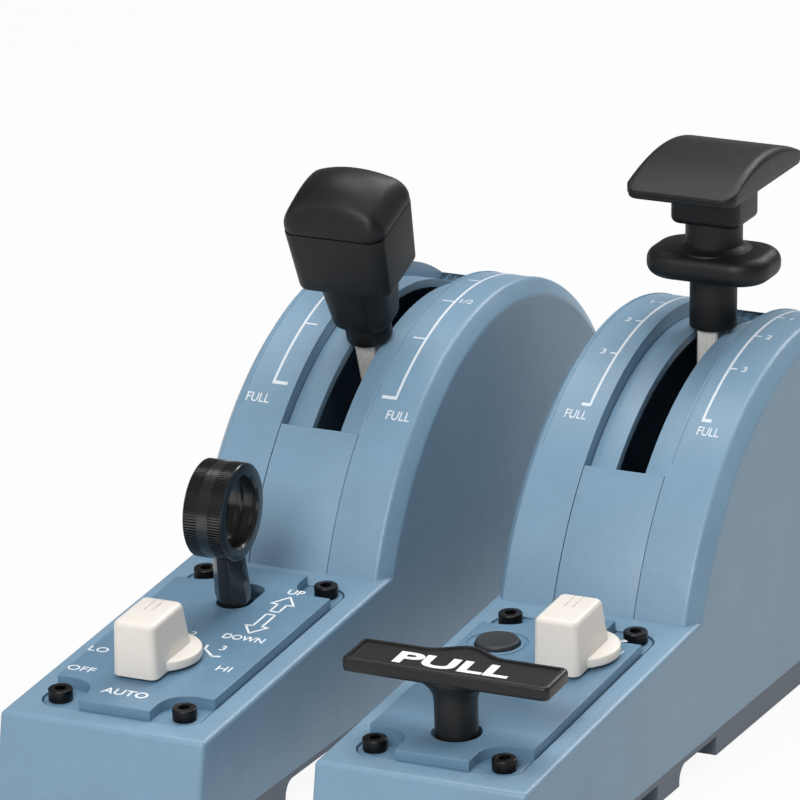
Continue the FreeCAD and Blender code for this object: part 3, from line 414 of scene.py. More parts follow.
def linear(*rgb):
    """Colour written as 0 to 255 screen values, in the linear values that a shader takes."""
    return [((c / 255 + 0.055) / 1.055) ** 2.4 if c > 10 else c / 3295 for c in rgb] + [1.0]


def drift(nodes, links, factor, colour, amount):
    """Colour that goes a little darker and lighter with a noise."""
    ramp = nodes.new("ShaderNodeValToRGB")
    ramp.color_ramp.elements[0].position = 0.3
    ramp.color_ramp.elements[1].position = 0.7
    ramp.color_ramp.elements[0].color = [c * (1 - amount) for c in colour[:3]] + [1]
    ramp.color_ramp.elements[1].color = [min(1, c * (1 + amount)) for c in colour[:3]] + [1]
    links.new(factor, ramp.inputs["Fac"])
    return ramp.outputs["Color"]


def roughen(nodes, links, shader, height, strength, depth_mm):
    bump = nodes.new("ShaderNodeBump")
    bump.inputs["Strength"].default_value = strength
    bump.inputs["Distance"].default_value = depth_mm / 1000
    links.new(height, bump.inputs["Height"])
    links.new(bump.outputs["Normal"], shader.inputs["Normal"])


print("node helpers ready")

# %% [markdown]
# One recipe makes every plastic here, with other numbers each time. The blue mouldings have the
# strongest grain and drift, the levers are a matt black, and the small wheel is the glossiest.

# %% Moulded plastics
def moulded_plastic(name, colour, rough, grain_mm=0.4, strength=0.35, colour_drift=0.04,
                    specular=0.5):
    material, nodes, links, shader = new_material(name)
    grain = noise(nodes, links, grain_mm, detail=3)
    cloud = noise(nodes, links, 22.0, detail=9, roughness=0.72)
    links.new(drift(nodes, links, cloud, colour, colour_drift), shader.inputs["Base Color"])
    links.new(between(nodes, links, grain, *rough), shader.inputs["Roughness"])
    roughen(nodes, links, shader, grain, strength, 0.1)
    shader.inputs["Specular IOR Level"].default_value = specular
    return material


blue_grain = {"rough": (0.33, 0.47), "grain_mm": 0.5, "strength": 0.6, "colour_drift": 0.07}
blue_shell = moulded_plastic("blue_shell", linear(119, 150, 173), **blue_grain)
# The panels take the shell's blue made darker: painted shade that keeps the up-facing panels dimmer than
# the crowns.
blue_panel = moulded_plastic("blue_panel", linear(99, 132, 157), **blue_grain)
base_plastic = moulded_plastic("base_plastic", linear(92, 104, 116), rough=(0.5, 0.6))
lever_black = moulded_plastic("lever_black", linear(16, 16, 17), rough=(0.44, 0.54), grain_mm=0.45,
                              specular=0.36)
grip_black = moulded_plastic("grip_black", linear(22, 22, 23), rough=(0.38, 0.48), grain_mm=0.3,
                             specular=0.4)
wheel_black = moulded_plastic("wheel_black", linear(26, 27, 28), rough=(0.16, 0.26), grain_mm=0.3,
                              strength=0.15, specular=0.8)
button_black = moulded_plastic("button_black", linear(40, 42, 46), rough=(0.4, 0.5), grain_mm=0.3)
switch_black = moulded_plastic("switch_black", linear(38, 38, 40), rough=(0.45, 0.6), grain_mm=0.5)
print("plastics:", len(bpy.data.materials))

# %% [markdown]
# Ivory knobs are smoother and let a little light in, which keeps their shadow side warm. A touch of
# subsurface scattering does that.

# %% Ivory
def ivory_plastic():
    material, nodes, links, shader = new_material("ivory")
    grain = noise(nodes, links, 0.6, detail=2)
    cloud = noise(nodes, links, 9.0, detail=2)
    links.new(drift(nodes, links, cloud, linear(226, 220, 212), 0.02), shader.inputs["Base Color"])
    links.new(between(nodes, links, grain, 0.36, 0.46), shader.inputs["Roughness"])
    roughen(nodes, links, shader, grain, 0.12, 0.04)
    shader.inputs["Subsurface Weight"].default_value = 0.12
    shader.inputs["Subsurface Radius"].default_value = (1.0, 0.7, 0.45)
    shader.inputs["Subsurface Scale"].default_value = 0.0015
    return material


ivory = ivory_plastic()
print("ivory ready")

# %% [markdown]
# Metals: the lever bars are brushed along their length, the screws are black oxide with a faint oily
# variation, and the brackets are dull zinc. Stretching the noise along one axis gives the brush lines.

# %% Metals
def metal(name, colour, rough, grain_mm, stretch=(1, 1, 1), strength=0.2, metallic=1.0):
    material, nodes, links, shader = new_material(name)
    grain = noise(nodes, links, grain_mm, detail=3, stretch=stretch)
    links.new(drift(nodes, links, grain, colour, 0.08), shader.inputs["Base Color"])
    links.new(between(nodes, links, grain, *rough), shader.inputs["Roughness"])
    roughen(nodes, links, shader, grain, strength, 0.03)
    shader.inputs["Metallic"].default_value = metallic
    return material


brushed_bar = metal("brushed_bar", linear(232, 230, 226), (0.4, 0.55), 0.5, stretch=(1, 1, 0.04),
                    metallic=0.35)
black_oxide = metal("black_oxide", linear(52, 50, 50), (0.3, 0.42), 0.5, strength=0.1)
zinc_plate = metal("zinc_plate", linear(196, 198, 202), (0.32, 0.48), 1.5)
bright_steel = metal("bright_steel", linear(205, 205, 205), (0.2, 0.32), 0.4)
cast_alloy = metal("cast_alloy", linear(176, 178, 182), (0.4, 0.55), 0.8, strength=0.35)
sintered_bronze = metal("sintered_bronze", linear(176, 138, 92), (0.4, 0.55), 0.3, strength=0.3)
nickel_plate = metal("nickel_plate", linear(190, 188, 184), (0.18, 0.28), 2.0, strength=0.05)
print("metals ready")

# %% [markdown]
# The rest: rubber feet, printed white legends, the green solder mask of the boards and dark parts that
# only show through gaps.

# %% Rubber, print and boards
foot_rubber = moulded_plastic("foot_rubber", linear(28, 28, 29), rough=(0.62, 0.75), grain_mm=0.7,
                              specular=0.3)
white_print = moulded_plastic("white_print", linear(236, 240, 244), rough=(0.45, 0.55), grain_mm=0.4,
                              strength=0.1, colour_drift=0.015)
scale_print = moulded_plastic("scale_print", linear(214, 222, 230), rough=(0.45, 0.55), grain_mm=0.4,
                              strength=0.1, colour_drift=0.02)
solder_mask = moulded_plastic("solder_mask", linear(38, 92, 58), rough=(0.25, 0.35), grain_mm=1.2,
                              strength=0.15)
spindle_nylon = moulded_plastic("spindle_nylon", linear(214, 212, 206), rough=(0.45, 0.55))
print("finishes in all:", len(bpy.data.materials))

# %% [markdown]
# ## Dressing the solids that stay
# Inner parts such as brackets, shafts, switches and boards keep their CAD shape, which is right as it
# is. Each gets the finish of the real thing. Which node gets which finish is written in one table.

# %% Finishes for CAD nodes
def dress(node, finish):
    mesh = frame["nodes"][node].data
    mesh.materials.clear()
    mesh.materials.append(finish)


both_sides = {"base_tray": base_plastic, "fixing_screws": black_oxide, "rubber_feet": foot_rubber,
              "lever_frame": zinc_plate, "bushes": sintered_bronze, "spring_washers": bright_steel,
              "detent_plate": zinc_plate, "circuit_boards": solder_mask, "rear_socket": switch_black,
              "pivot_shaft": bright_steel, "lever_hub": cast_alloy, "detent_roller": bright_steel,
              "sensor_magnet": nickel_plate}
one_side = {"speed_brake_arm": brushed_bar, "flap_arm": brushed_bar, "collar_spring": bright_steel,
            "gear_bracket": zinc_plate, "gear_pin": bright_steel, "gear_switch": switch_black,
            "auto_brake_switch": switch_black, "auto_brake_spindle": spindle_nylon,
            "trim_switch": switch_black, "trim_spindle": spindle_nylon, "park_guide": switch_black,
            "park_switch": switch_black, "park_plunger": bright_steel, "button_switch": switch_black}
for node, finish in both_sides.items():
    dress("left_" + node, finish)
    dress("right_" + node, finish)
for node, finish in one_side.items():
    dress(node, finish)
print("CAD nodes dressed:", 2 * len(both_sides) + len(one_side))

# %% [markdown]
# A finished piece is handed over in one step: it takes its finish, rides on a body of the CAD model, and
# hides the CAD nodes that it stands for, if any.

# %% Handing a piece over
def hand_over(obj, body, slot_name, finish, *nodes):
    """A finished piece gets its material, rides on its body and stands for its CAD nodes."""
    obj.data.materials.clear()
    obj.data.materials.append(finish)
    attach(obj, body)
    if nodes:
        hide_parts(*nodes)
    return obj


# %% [markdown]
# ## The housing
# The housing is one moulding: a sloping deck that runs into a wheel-shaped hump. The hump is lathe work,
# turned about the lever axis from half its cross-section, with the two corners of its bevel rounded.
# The deck is a profile pushed across the module. A smaller copy of both is taken away to leave a wall.

# %% Section corners and plane cuts
def rounded(points, radius, steps=4):
    """The same outline with a small arc in place of each inner corner."""
    out = [Vector(points[0])]
    for before, corner, after in zip(points, points[1:], points[2:]):
        before, corner, after = Vector(before), Vector(corner), Vector(after)
        start = corner + (before - corner).normalized() * radius
        end = corner + (after - corner).normalized() * radius
        for k in range(steps + 1):
            t = k / steps
            out.append(start * (1 - t) ** 2 + corner * 2 * t * (1 - t) + end * t * t)
    return out + [Vector(points[-1])]


def trim(obj, point, normal):
    """Cut a solid with a plane and drop what lies on the normal's side."""
    edit(obj)
    bpy.ops.mesh.bisect(plane_co=point, plane_no=normal, clear_outer=True, use_fill=True)
    done()
    return obj


# %% [markdown]
# Hump and deck take an inset, so the same two functions make the outer shape and the smaller one that is
# taken away. The deck's long edges, its front edge and its upright front corners are rounded before the
# two are joined.

# %% Hump and deck
half, wall = 25.0, 2.2                       # half the module's width, and the wall
crown_r, flank_r, bevel_w = 75.5, 71.65, 2.6  # radii where the bevel starts and ends, and its width
base_top, front_lean = 6.5, math.radians(9)
deck_reach = 150                              # how far the deck runs into the hump


def hump_solid(name, inset, corner, bottom):
    """The wheel-shaped hump, turned from half its section and cut off flat at the bottom."""
    slope = math.hypot(crown_r - flank_r, bevel_w)
    side_x = half - inset
    top_r = crown_r - inset
    flank = flank_r - inset * (slope - (crown_r - flank_r)) / bevel_w
    top_x = half - bevel_w - inset * (slope - bevel_w) / (crown_r - flank_r)
    section = rounded([(0, -side_x, 0), (0, -side_x, flank), (0, -top_x, top_r),
                       (0, top_x, top_r), (0, side_x, flank), (0, side_x, 0)], corner)
    wheel = lathe(name, [(p.y, p.z) for p in section], steps=180, axis="X", centre=(0, axis_y, axis_z))
    return trim(wheel, (0, 0, bottom), (0, 0, -1))


def deck_solid(name, inset, bottom):
    """The deck as a side view pushed across the module."""
    top = deck_height - inset / math.cos(deck_tilt)
    front = lambda z: -(deck_height - z) * math.tan(front_lean) + inset / math.cos(front_lean)
    rise = math.tan(deck_tilt)
    side = half - inset
    points = [(-side, front(bottom), bottom), (-side, front(top), top + front(top) * rise),
              (-side, deck_reach, top + deck_reach * rise), (-side, deck_reach, bottom)]
    return extruded(name, points, (2 * side, 0, 0))


def is_deck_edge(a, b):
    """Side and front edges of the deck and the upright front corners, but not the rear or the bottom."""
    high = min(a.z, b.z) > deck_height - 2
    if high:
        return min(a.y, b.y) < 1
    upright = abs(a.x - b.x) < 0.01 and max(a.y, b.y) < 1
    return upright and abs(a.z - b.z) > 5


shell = deck_solid("housing", 0, base_top)
bevel_edges(shell, is_deck_edge, 1.2, 6)
union(shell, hump_solid("hump", 0, 0.7, base_top))
cut(shell, deck_solid("deck_hollow", wall, base_top - 1),
    hump_solid("hump_hollow", wall, 0.4, base_top - 1))
print("housing blank:", len(shell.data.polygons), "faces")

# %% [markdown]
# The hump's middle is open for the lever strip, with a rib each side that makes the wall of the track.
# Two shallow labels run over the crown beside it. The deck has a seat for the control panel and a window
# under it, and the rear wall has a window for the socket.

# %% Openings in the housing
deck_mm = Matrix.Translation((0, 0, deck_height)) @ Matrix.Rotation(deck_tilt, 4, "X")


def tilted(obj):
    """Bring a tool modelled flat on the deck to its slope, still in millimetres."""
    return settle(obj, deck_mm)


def crown_band(name, x, r, low, high, steps=120):
    """Part of a ring about the lever axis: x and r give its section, low and high its angles."""
    corners = [(x[0], r[0]), (x[1], r[0]), (x[1], r[1]), (x[0], r[1])]
    return arc_band(name, corners, low, high, steps)


def above_deck(obj):
    """Cut off what lies below the plane of the deck."""
    normal = deck_mm.to_3x3() @ Vector((0, 0, -1))
    return trim(obj, (0, 0, deck_height), normal)


for x in ((-12.0, -9.4), (9.4, 12.0)):
    union(shell, above_deck(crown_band("rib", x, (70.0, 74.4), 23, 160)))
cut(shell, above_deck(crown_band("opening", (-10.0, 10.0), (69.0, 77.0), 25, 165)))
for x in ((-21.5, -10.6), (10.6, 21.5)):
    cut(shell, crown_band("label", x, (crown_r - 0.15, 77.0), 62.5, 132.6))
cut(shell, tilted(slab("seat", (-19.65, 19.65), (6.15, 88.15), (-1.5, 1.0), 4.85)))
for name, half_x, y in (("window", 17.7, (18.3, 76.0)), ("long_window", 7.9, (12.2, 82.0))):
    cut(shell, tilted(slab(name, (-half_x, half_x), y, (-4.0, 1.0), 1.5, steps=4)))
cut(shell, block("socket_window", (-7.0, 7.0), (234.0, 243.0), (13.2, 26.2)))
edit(shell)
bpy.ops.mesh.fill_holes(sides=8)
done()
print("housing:", len(shell.data.polygons), "faces")

# %% [markdown]
# Both modules have the same housing, so the finished shell is copied. Each copy has its own mesh.

# %% Two housings
for side in ("left", "right"):
    housing = place(duplicate(shell, side + "_shell"), in_module(side), smooth=28)
    hand_over(housing, "modules", "blue_shell", blue_shell, side + "_housing")
remove(shell)
print("housings in place")

# %% [markdown]
# ## The lever strip
# The strip in the middle of the hump is a separate moulding with a hairline gap each side. It is flush
# with the crown at the front and rear and drops into a track between, with the slot for the lever bar.
# Each stretch is an arc of a small section, so five arcs and their end walls make the strip.

# %% Lever strip
def strip_arc(x, r, low, high, steps, corner=0.22):
    section = rounded([(0, x[0], r[0]), (0, x[0], r[1]), (0, x[1], r[1]), (0, x[1], r[0])], corner, 3)
    return arc_band("strip", [(p.y, p.z) for p in section], low, high, steps)


def lever_strip():
    half_strip, half_slot = 9.85, 3.6
    full, flush, track, end_wall = (-half_strip, half_strip), (73.5, 75.5), (70.0, 72.0), (70.0, 75.5)
    pieces = [above_deck(strip_arc(full, flush, 135.3, 165, 36)),
              strip_arc(full, end_wall, 135.3, 136.9, 3),
              strip_arc(full, end_wall, 58.4, 60, 3),
              strip_arc((-half_strip, -half_slot), track, 64, 135.4, 72, 0.1),
              strip_arc((half_slot, half_strip), track, 64, 135.4, 72, 0.1),
              strip_arc(full, track, 59.8, 64, 6, 0.1),
              strip_arc(full, flush, 25, 60, 36)]
    return together(*pieces)


strip = lever_strip()
for side in ("left", "right"):
    piece = place(duplicate(strip, side + "_lever_strip"), in_module(side))
    hand_over(piece, "modules", "blue_strip", blue_shell, side + "_slot_cover")
remove(strip)
print("lever strips in place")

# %% [markdown]
# ## Control panels
# Each panel is a thin flange with a raised field on it. The field steps back in a quarter circle round
# each screw. Holes for the controls go through both, and the field's rim is softened after they are cut
# so that the light catches every edge.

# %% Screw places and a panel blank
screw_places = [(x, y) for y in (10.51, 83.78) for x in (-15.24, 15.24)]
panel_rise = 2.5
brake_knob_place, trim_knob_place = (-1.8, 33.1), (8.5, 67.0)
grip_place, button_place = (0, 19.8), (-11.1, 67.1)


def round_hole(x, y, radius):
    return rod("hole", radius, -12, 12, at=(x, y, 0), sides=72)


def panel(side, holes, groove=None):
    """One control panel: flange and raised field, with notches, holes and an optional groove."""
    flange = slab("flange", (-19.2, 19.2), (6.6, 87.7), (-1.5, -0.1), 4.4)
    soften(flange, 0.35, 4, 50)
    field = slab("field", (-19.4, 19.4), (6.4, 87.9), (-0.8, panel_rise), 4.6)
    notch = 6.5
    for x, y in screw_places:
        across = (x - notch, 30.0) if x > 0 else (-30.0, x + notch)
        along = (-15.0, y + notch) if y < 45 else (y - notch, 110.0)
        cut(field, slab("notch", across, along, (-3, 4), 6.4, 16))
    for hole in holes:
        combine(flange, hole, "DIFFERENCE", keep=True)
        combine(field, hole, "DIFFERENCE")
    if groove:
        cut(field, groove)
    soften(field, 0.5, 4, 50)
    obj = together(field, flange)
    obj.name = side + "_panel"
    return obj


gear_x, gear_y, gear_z = -0.5, 71.4, -17.5
gear_slot = slab("gear_slot", (gear_x - 4, gear_x + 4), (64.1, 79.0), (-12, 12), 3.99, steps=14)
left_panel = panel("left", [gear_slot, round_hole(*brake_knob_place, 3.55)])
print("left panel:", len(left_panel.data.polygons), "faces")

# %% [markdown]
# The push button sits in a shallow ring groove. The groove is a ring taken from the field before its
# rims are softened.

# %% Groove and placing
def ring_tool(inner, outer, low, high, x, y):
    ring = rod("ring", outer, low, high, at=(x, y, 0))
    return cut(ring, rod("core", inner, low - 1, high + 1, at=(x, y, 0)))


right_holes = [round_hole(*grip_place, 5.6), round_hole(*button_place, 5.25),
               round_hole(*trim_knob_place, 3.55)]
right_panel = panel("right", right_holes, ring_tool(6.2, 7.0, 2.1, 4.0, *button_place))
# The panels get the darker blue, which paints shade on them.
for side, obj in (("left", left_panel), ("right", right_panel)):
    place(obj, on_deck(side))
    hand_over(obj, "modules", "blue_panel", blue_panel, side + "_control_panel")
print("right panel:", len(right_panel.data.polygons), "faces")

# %% [markdown]
# ## Panel screws
# Eight socket-head cap screws, all alike: a turned head with a rounded rim, a hexagon socket and a shank.
# One is made and copied, and the four of a panel are joined.

# %% Screws
def cap_screw():
    head = rod("screw", 2.75, 0, 3.0, sides=48)
    soften(head, 0.3, 3, 50)
    cut(head, rod("hexagon", 1.45, 1.4, 4, sides=6))
    soften(head, 0.06, 2, 60)
    return together(head, rod("shank", 1.5, -7.0, 0.4, sides=24))


screw = cap_screw()
for side in ("left", "right"):
    four = []
    for count, (x, y) in enumerate(screw_places):
        copy = duplicate(screw, side + "_screw")
        turn = Matrix.Rotation(math.radians(17 + 23 * count), 4, "Z")
        four.append(settle(copy, Matrix.Translation((x, y, -0.3)) @ turn))
    screws = together(*four)
    screws.name = side + "_panel_screw_set"
    place(screws, on_deck(side))
    hand_over(screws, "modules", "blackened_steel", black_oxide, side + "_panel_screws")
remove(screw)
print("screws in place")

# %% [markdown]
# ## Speed-brake lever
# The grip is a tapered block with soft corners under a pillow-shaped cap, with a dark parting line
# between. The cap could be sculpted, but a slab gives a true rim: its top edge gets a wide bevel, its top
# is divided into small faces, and these are lifted by a height that is greatest in the middle.

# %% Tapered and crowned blocks
def cut_across(obj, axis, places):
    """Divide faces with planes, so that a flat top can take a curve."""
    edit(obj)
    for where in places:
        bpy.ops.mesh.select_all(action="SELECT")
        point = (where, 0, 0) if axis == "X" else (0, where, 0)
        normal = (1, 0, 0) if axis == "X" else (0, 1, 0)
        bpy.ops.mesh.bisect(plane_co=point, plane_no=normal)
    done()


def crown(obj, low, high, lift):
    """Raise points by a height that depends on their place, in full at the top and not at all below."""
    for vertex in obj.data.vertices:
        x, y, z = vertex.co
        share = min(1.0, max(0.0, (z - low) / (high - low)))
        vertex.co.z = z + share * lift(x, y)
    return obj


def tapered(name, low_size, high_size, z, corner, steps):
    """Upright block with round corners whose bottom is scaled to another size."""
    (w, d), half_w, half_d = high_size, high_size[0] / 2, high_size[1] / 2
    obj = slab(name, (-half_w, half_w), (-half_d, half_d), z, corner, steps)
    pick(obj, lambda p: p.z < z[0] + 0.01)
    bpy.ops.transform.resize(value=(low_size[0] / w, low_size[1] / d, 1), center_override=(0, 0, z[0]))
    done()
    return obj


def ring_edges(z):
    """Test for the edges that go round a piece at one height."""
    return lambda a, b: abs(a.z - z) < 0.02 and abs(b.z - z) < 0.02


def speed_brake_grip():
    low, high = 90.7, 107.6
    obj = tapered("speed_brake_grip", (23.2, 19.0), (25.2, 20.8), (low, high), 3.0, 10)
    bevel_edges(obj, ring_edges(low), 1.5, 6)
    bevel_edges(obj, ring_edges(high), 0.25, 2)
    return obj


def pillow_lift(x, y):
    """High in the middle, full towards the corners, and level all along the rim."""
    return 6.5 * (max(0.0, 1 - (x / 12.85) ** 2) * max(0.0, 1 - (y / 10.65) ** 2)) ** 0.8


def speed_brake_pillow():
    neck = slab("neck", (-11.9, 11.9), (-9.8, 9.8), (107.2, 108.2), 2.6)
    rim, top = 107.9, 111.9
    body = slab("speed_brake_pillow", (-12.8, 12.8), (-10.6, 10.6), (rim, top), 4.0, 16)
    bevel_edges(body, ring_edges(top), 3.1, 14)
    bevel_edges(body, ring_edges(rim), 0.35, 3)
    cut_across(body, "X", [-11.7 + 0.9 * k for k in range(27)])
    cut_across(body, "Y", [-9.6 + 0.8 * k for k in range(25)])
    crown(body, rim + 0.9, top, pillow_lift)
    return together(body, neck)


grip = place(speed_brake_grip(), on_lever("left", brake_lean))
hand_over(grip, "speed_brake_lever", "lever_black", lever_black, "speed_brake_handle")
pillow = place(speed_brake_pillow(), on_lever("left", brake_lean), smooth=40)
pillow.name = "speed_brake_pillow"
hand_over(pillow, "speed_brake_lever", "lever_black", lever_black, "speed_brake_cap")
print("grip and cap:", len(grip.data.polygons), len(pillow.data.polygons), "faces")

# %% [markdown]
# The collar under the grip narrows downward and ends in a round sleeve on the steel bar. The narrowing is
# a block whose lower points are scaled in, and the sleeve is a rod with a slot for the bar.

# %% Collar of the speed-brake lever
def bar_sleeve(radius, top, slot_top):
    """Round sleeve with a slot for the steel bar."""
    sleeve = rod("sleeve", radius, 73.0, top)
    soften(sleeve, 0.35, 3, 50)
    return cut(sleeve, block("bar", (-2.55, 2.55), (-4.05, 4.05), (60, slot_top)))


def speed_brake_sleeve():
    low, high = 77.6, 91.6
    flare = tapered("speed_brake_sleeve", (14.2, 13.0), (18.0, 15.6), (low, high), 5.8, 12)
    bevel_edges(flare, ring_edges(low), 1.9, 8)
    return together(flare, bar_sleeve(5.5, 78.5, 77))


sleeve = place(speed_brake_sleeve(), on_lever("left", brake_lean))
hand_over(sleeve, "speed_brake_lever", "lever_black", lever_black, "speed_brake_collar")
print("speed-brake lever dressed")

# %% [markdown]
# ## Flaps lever
# A palm rest arched from front to rear sits on a small block and a round neck. The arch could be cut with
# a large cylinder, but dividing the slab and lowering its points along a circle keeps the rim's bevel.

# %% Palm rest, block and neck
def arch_drop(x, y):
    """How far the top falls along its arch, with a very slight crown across."""
    arch_radius, half_width, side_fall = 50.8, 13.5, 0.07
    arch = math.sqrt(arch_radius ** 2 - y ** 2) - arch_radius
    return arch + side_fall - side_fall * (x / half_width) ** 2


def palm_rest():
    low, top = 109.3, 116.1
    body = slab("palm_rest", (-13.5, 13.5), (-23.0, 23.0), (low, top), 3.4, 10)
    bevel_edges(body, ring_edges(top), 2.0, 10)
    bevel_edges(body, ring_edges(low), 0.4, 3)
    cut_across(body, "Y", [-22.1 + 1.3 * k for k in range(35)])
    return crown(body, 110.2, top, arch_drop)


def flap_grip_block():
    lip_low, stock_low = 108.3, 98.7
    lip = slab("flap_grip_block", (-13.25, 13.25), (-22.75, 22.75), (lip_low, 109.5), 3.2, 10)
    bevel_edges(lip, ring_edges(lip_low), 0.7, 4)
    stock = slab("stock", (-8.6, 8.6), (-7.5, 7.5), (stock_low, 108.5), 2.6, 8)
    bevel_edges(stock, ring_edges(stock_low), 1.6, 6)
    return together(lip, stock, rod("neck", 6.7, 91.7, 99.2))


rest = place(palm_rest(), on_lever("right", flap_lean), smooth=40)
hand_over(rest, "flaps_lever", "lever_black", lever_black, "flap_paddle")
flap_block = place(flap_grip_block(), on_lever("right", flap_lean))
hand_over(flap_block, "flaps_lever", "lever_black", lever_black, "flap_handle")
print("palm rest and block:", len(rest.data.polygons), len(flap_block.data.polygons), "faces")

# %% [markdown]
# Below the palm rest a finger flange with fat round edges slides on the bar. It is a slab whose edges are
# rounded until only a narrow waist is flat, with a bore for the neck and a small turned fillet round it.

# %% Finger flange
def finger_flange():
    low, high = 85.5, 92.1
    flange = slab("finger_flange", (-15.2, 15.2), (-10.5, 10.5), (low, high), 8.0, 16)
    bevel_edges(flange, lambda a, b: ring_edges(low)(a, b) or ring_edges(high)(a, b), 2.9, 10)
    cut(flange, rod("bore", 6.75, 86.2, 94))
    fillet = [(91.7, 6.76), (93.3, 6.76), (92.9, 7.15), (92.45, 7.9), (92.15, 8.9), (91.7, 9.2),
              (91.7, 6.76)]
    return together(flange, lathe("fillet", fillet), bar_sleeve(5.55, 85.8, 90))


flange = place(finger_flange(), on_lever("right", flap_lean))
hand_over(flange, "lifting_collar", "lever_black", lever_black, "flap_collar")
print("finger flange:", len(flange.data.polygons), "faces")

# %% [markdown]
# The return spring sits in the flange's bore under the neck. A small round outline is swept up a helix by
# the Screw modifier and its ends are filled.

# %% Return spring
def return_spring():
    coil_r, wire_r, low = 5.95, 0.25, 86.55
    wire = [(coil_r + wire_r * math.cos(math.radians(a)), 0, low + wire_r * math.sin(math.radians(a)))
            for a in range(0, 360, 36)]
    coil = outline("return_spring", wire)
    apply_modifier(coil, "SCREW", angle=math.radians(900), screw_offset=4.7, steps=90, render_steps=90)
    edit(coil)
    bpy.ops.mesh.fill_holes(sides=12)
    done()
    return outward(coil)


spring = place(return_spring(), on_lever("right", flap_lean))
hand_over(spring, "flaps_lever", "bright_steel", bright_steel, "collar_spring")
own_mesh(spring)
print("flaps lever dressed")

# %% [markdown]
# ## Gear lever
# The knurled wheel is the finest piece. It is turned from a section with a lipped bore and a rib inside.
# Then every second column of faces in two bands is pushed in, which leaves square teeth with the smooth
# band between them. The faces are picked by where they are and moved along their normals.

# %% Knurled wheel
def gear_placed():
    """The gear lever's own frame, with z along the lever from its pivot."""
    lean = Matrix.Rotation(math.radians(8.8), 4, "X")
    return on_deck("left") @ Matrix.Translation((gear_x, gear_y, gear_z)) @ lean


def knurled_wheel():
    teeth, tooth_depth, rim_r, smooth_half = 104, 0.42, 11.2, 1.45
    section = [(-4.85, 8.6), (-4.85, 10.7), (-4.75, 11.0), (-4.55, 11.2), (-1.45, 11.2),
               (-1.4, 11.12), (1.4, 11.12), (1.45, 11.2), (4.55, 11.2), (4.75, 11.0), (4.85, 10.7),
               (4.85, 8.6), (4.35, 8.1), (3.5, 8.1), (2.9, 8.95), (0.9, 8.95), (0.4, 8.35),
               (-0.4, 8.35), (-0.9, 8.95), (-2.9, 8.95), (-3.5, 8.1), (-4.35, 8.1)]
    wheel = lathe("knurled_wheel", section + section[:1], steps=2 * teeth, axis="X")
    column = math.pi / teeth
    mesh = edit(wheel, "FACE", "DESELECT")
    for face in mesh.faces:
        p = face.calc_center_median()
        on_band = math.hypot(p.y, p.z) > rim_r - 0.03 and abs(p.x) > smooth_half
        number = int(round(math.atan2(p.z, p.y) / column - 0.5))
        face.select_set(on_band and number % 2 == 0)
    bmesh.update_edit_mesh(wheel.data)
    bpy.ops.mesh.extrude_region_shrink_fatten(TRANSFORM_OT_shrink_fatten={"value": -tooth_depth})
    done()
    return outward(wheel)


wheel_height = 44.4
wheel = settle(knurled_wheel(), Matrix.Translation((0, 0, wheel_height)))
place(wheel, gear_placed(), smooth=24)
hand_over(wheel, "gear_lever", "wheel_black", wheel_black, "gear_wheel")
print("wheel:", len(wheel.data.polygons), "faces")

# %% [markdown]
# The wheel's stem has eight flat sides and is widest a little below the wheel. It starts as an
# eight-sided cylinder that is divided at two heights, and each ring of points is scaled to its own width
# and depth. The scale is a little over the half width, because a flat lies inside the circle.

# %% Faceted stem
def faceted_stem():
    """Eight-sided bar that widens and narrows again: a cylinder whose rings are scaled."""
    top, corner_over_flat = 34.3, 1.08
    stem = rod("faceted_stem", 1.0, 0.0, top, sides=8)
    edit(stem)
    bpy.ops.transform.rotate(value=math.radians(22.5), orient_axis="Z", center_override=(0, 0, 0))
    for z in (18.5, 22.7):
        bpy.ops.mesh.select_all(action="SELECT")
        bpy.ops.mesh.bisect(plane_co=(0, 0, z), plane_no=(0, 0, 1))
    done()
    for z, x, y in ((0, 3.4, 2.8), (18.5, 3.3, 2.9), (22.7, 3.95, 3.6), (top, 3.45, 3.3)):
        pick(stem, lambda p, z=z: abs(p.z - z) < 0.01)
        bpy.ops.transform.resize(value=(x * corner_over_flat, y * corner_over_flat, 1),
                                 center_override=(0, 0, z))
        done()
    soften(stem, 0.22, 3, 12)
    foot = rod("foot", 4.0, -5.1, 5.1, axis="X", sides=48)
    return together(stem, foot)


stem = place(faceted_stem(), gear_placed(), smooth=18)
hand_over(stem, "gear_lever", "wheel_black", wheel_black, "gear_stem")
print("stem:", len(stem.data.polygons), "faces")

# %% [markdown]
# ## Selector knobs
# Both knobs are alike: a round base and a tall block that overhangs it at the front, with two engraved
# lines on top that point to the setting. The lines are thin slots cut in the finished top.

# %% Selector knob
def selector_knob():
    low, top, half_line = 3.2, 16.0, 0.28
    disc = rod("disc", 9.5, low, 5.5, sides=128)
    soften(disc, 0.45, 4, 50)
    obj = slab("selector_knob", (-5.5, 5.5), (-13.2, 6.2), (low, top), 1.9, 8)
    pick(obj, lambda p: p.z > top - 0.1)
    bpy.ops.transform.resize(value=(0.925, 0.806, 1), center_override=(0, -10.8, top))
    done()
    bevel_edges(obj, ring_edges(top), 1.3, 8)
    for x in (-0.95, 0.95):
        cut(obj, slab("line", (x - half_line, x + half_line), (-4.6, 2.4), (15.75, 17), 0.2, 3))
    return together(obj, disc)


knob = selector_knob()
for side, name, body, node, spot in (
        ("left", "auto_brake_selector_knob", "auto_brake_selector", "auto_brake_knob", brake_knob_place),
        ("right", "trim_selector_knob", "trim_selector", "trim_knob", trim_knob_place)):
    copy = place(duplicate(knob, name), on_deck(side, *spot), smooth=40)
    hand_over(copy, body, "ivory", ivory, node)
remove(knob)
print("knobs in place")

# %% [markdown]
# ## Parking grip
# The grip is a flat bar with a round bulge at the rear and a thick stem that flares into it. Its face is
# sunk a little inside a rim that follows the outline, so the face is inset and pushed down.

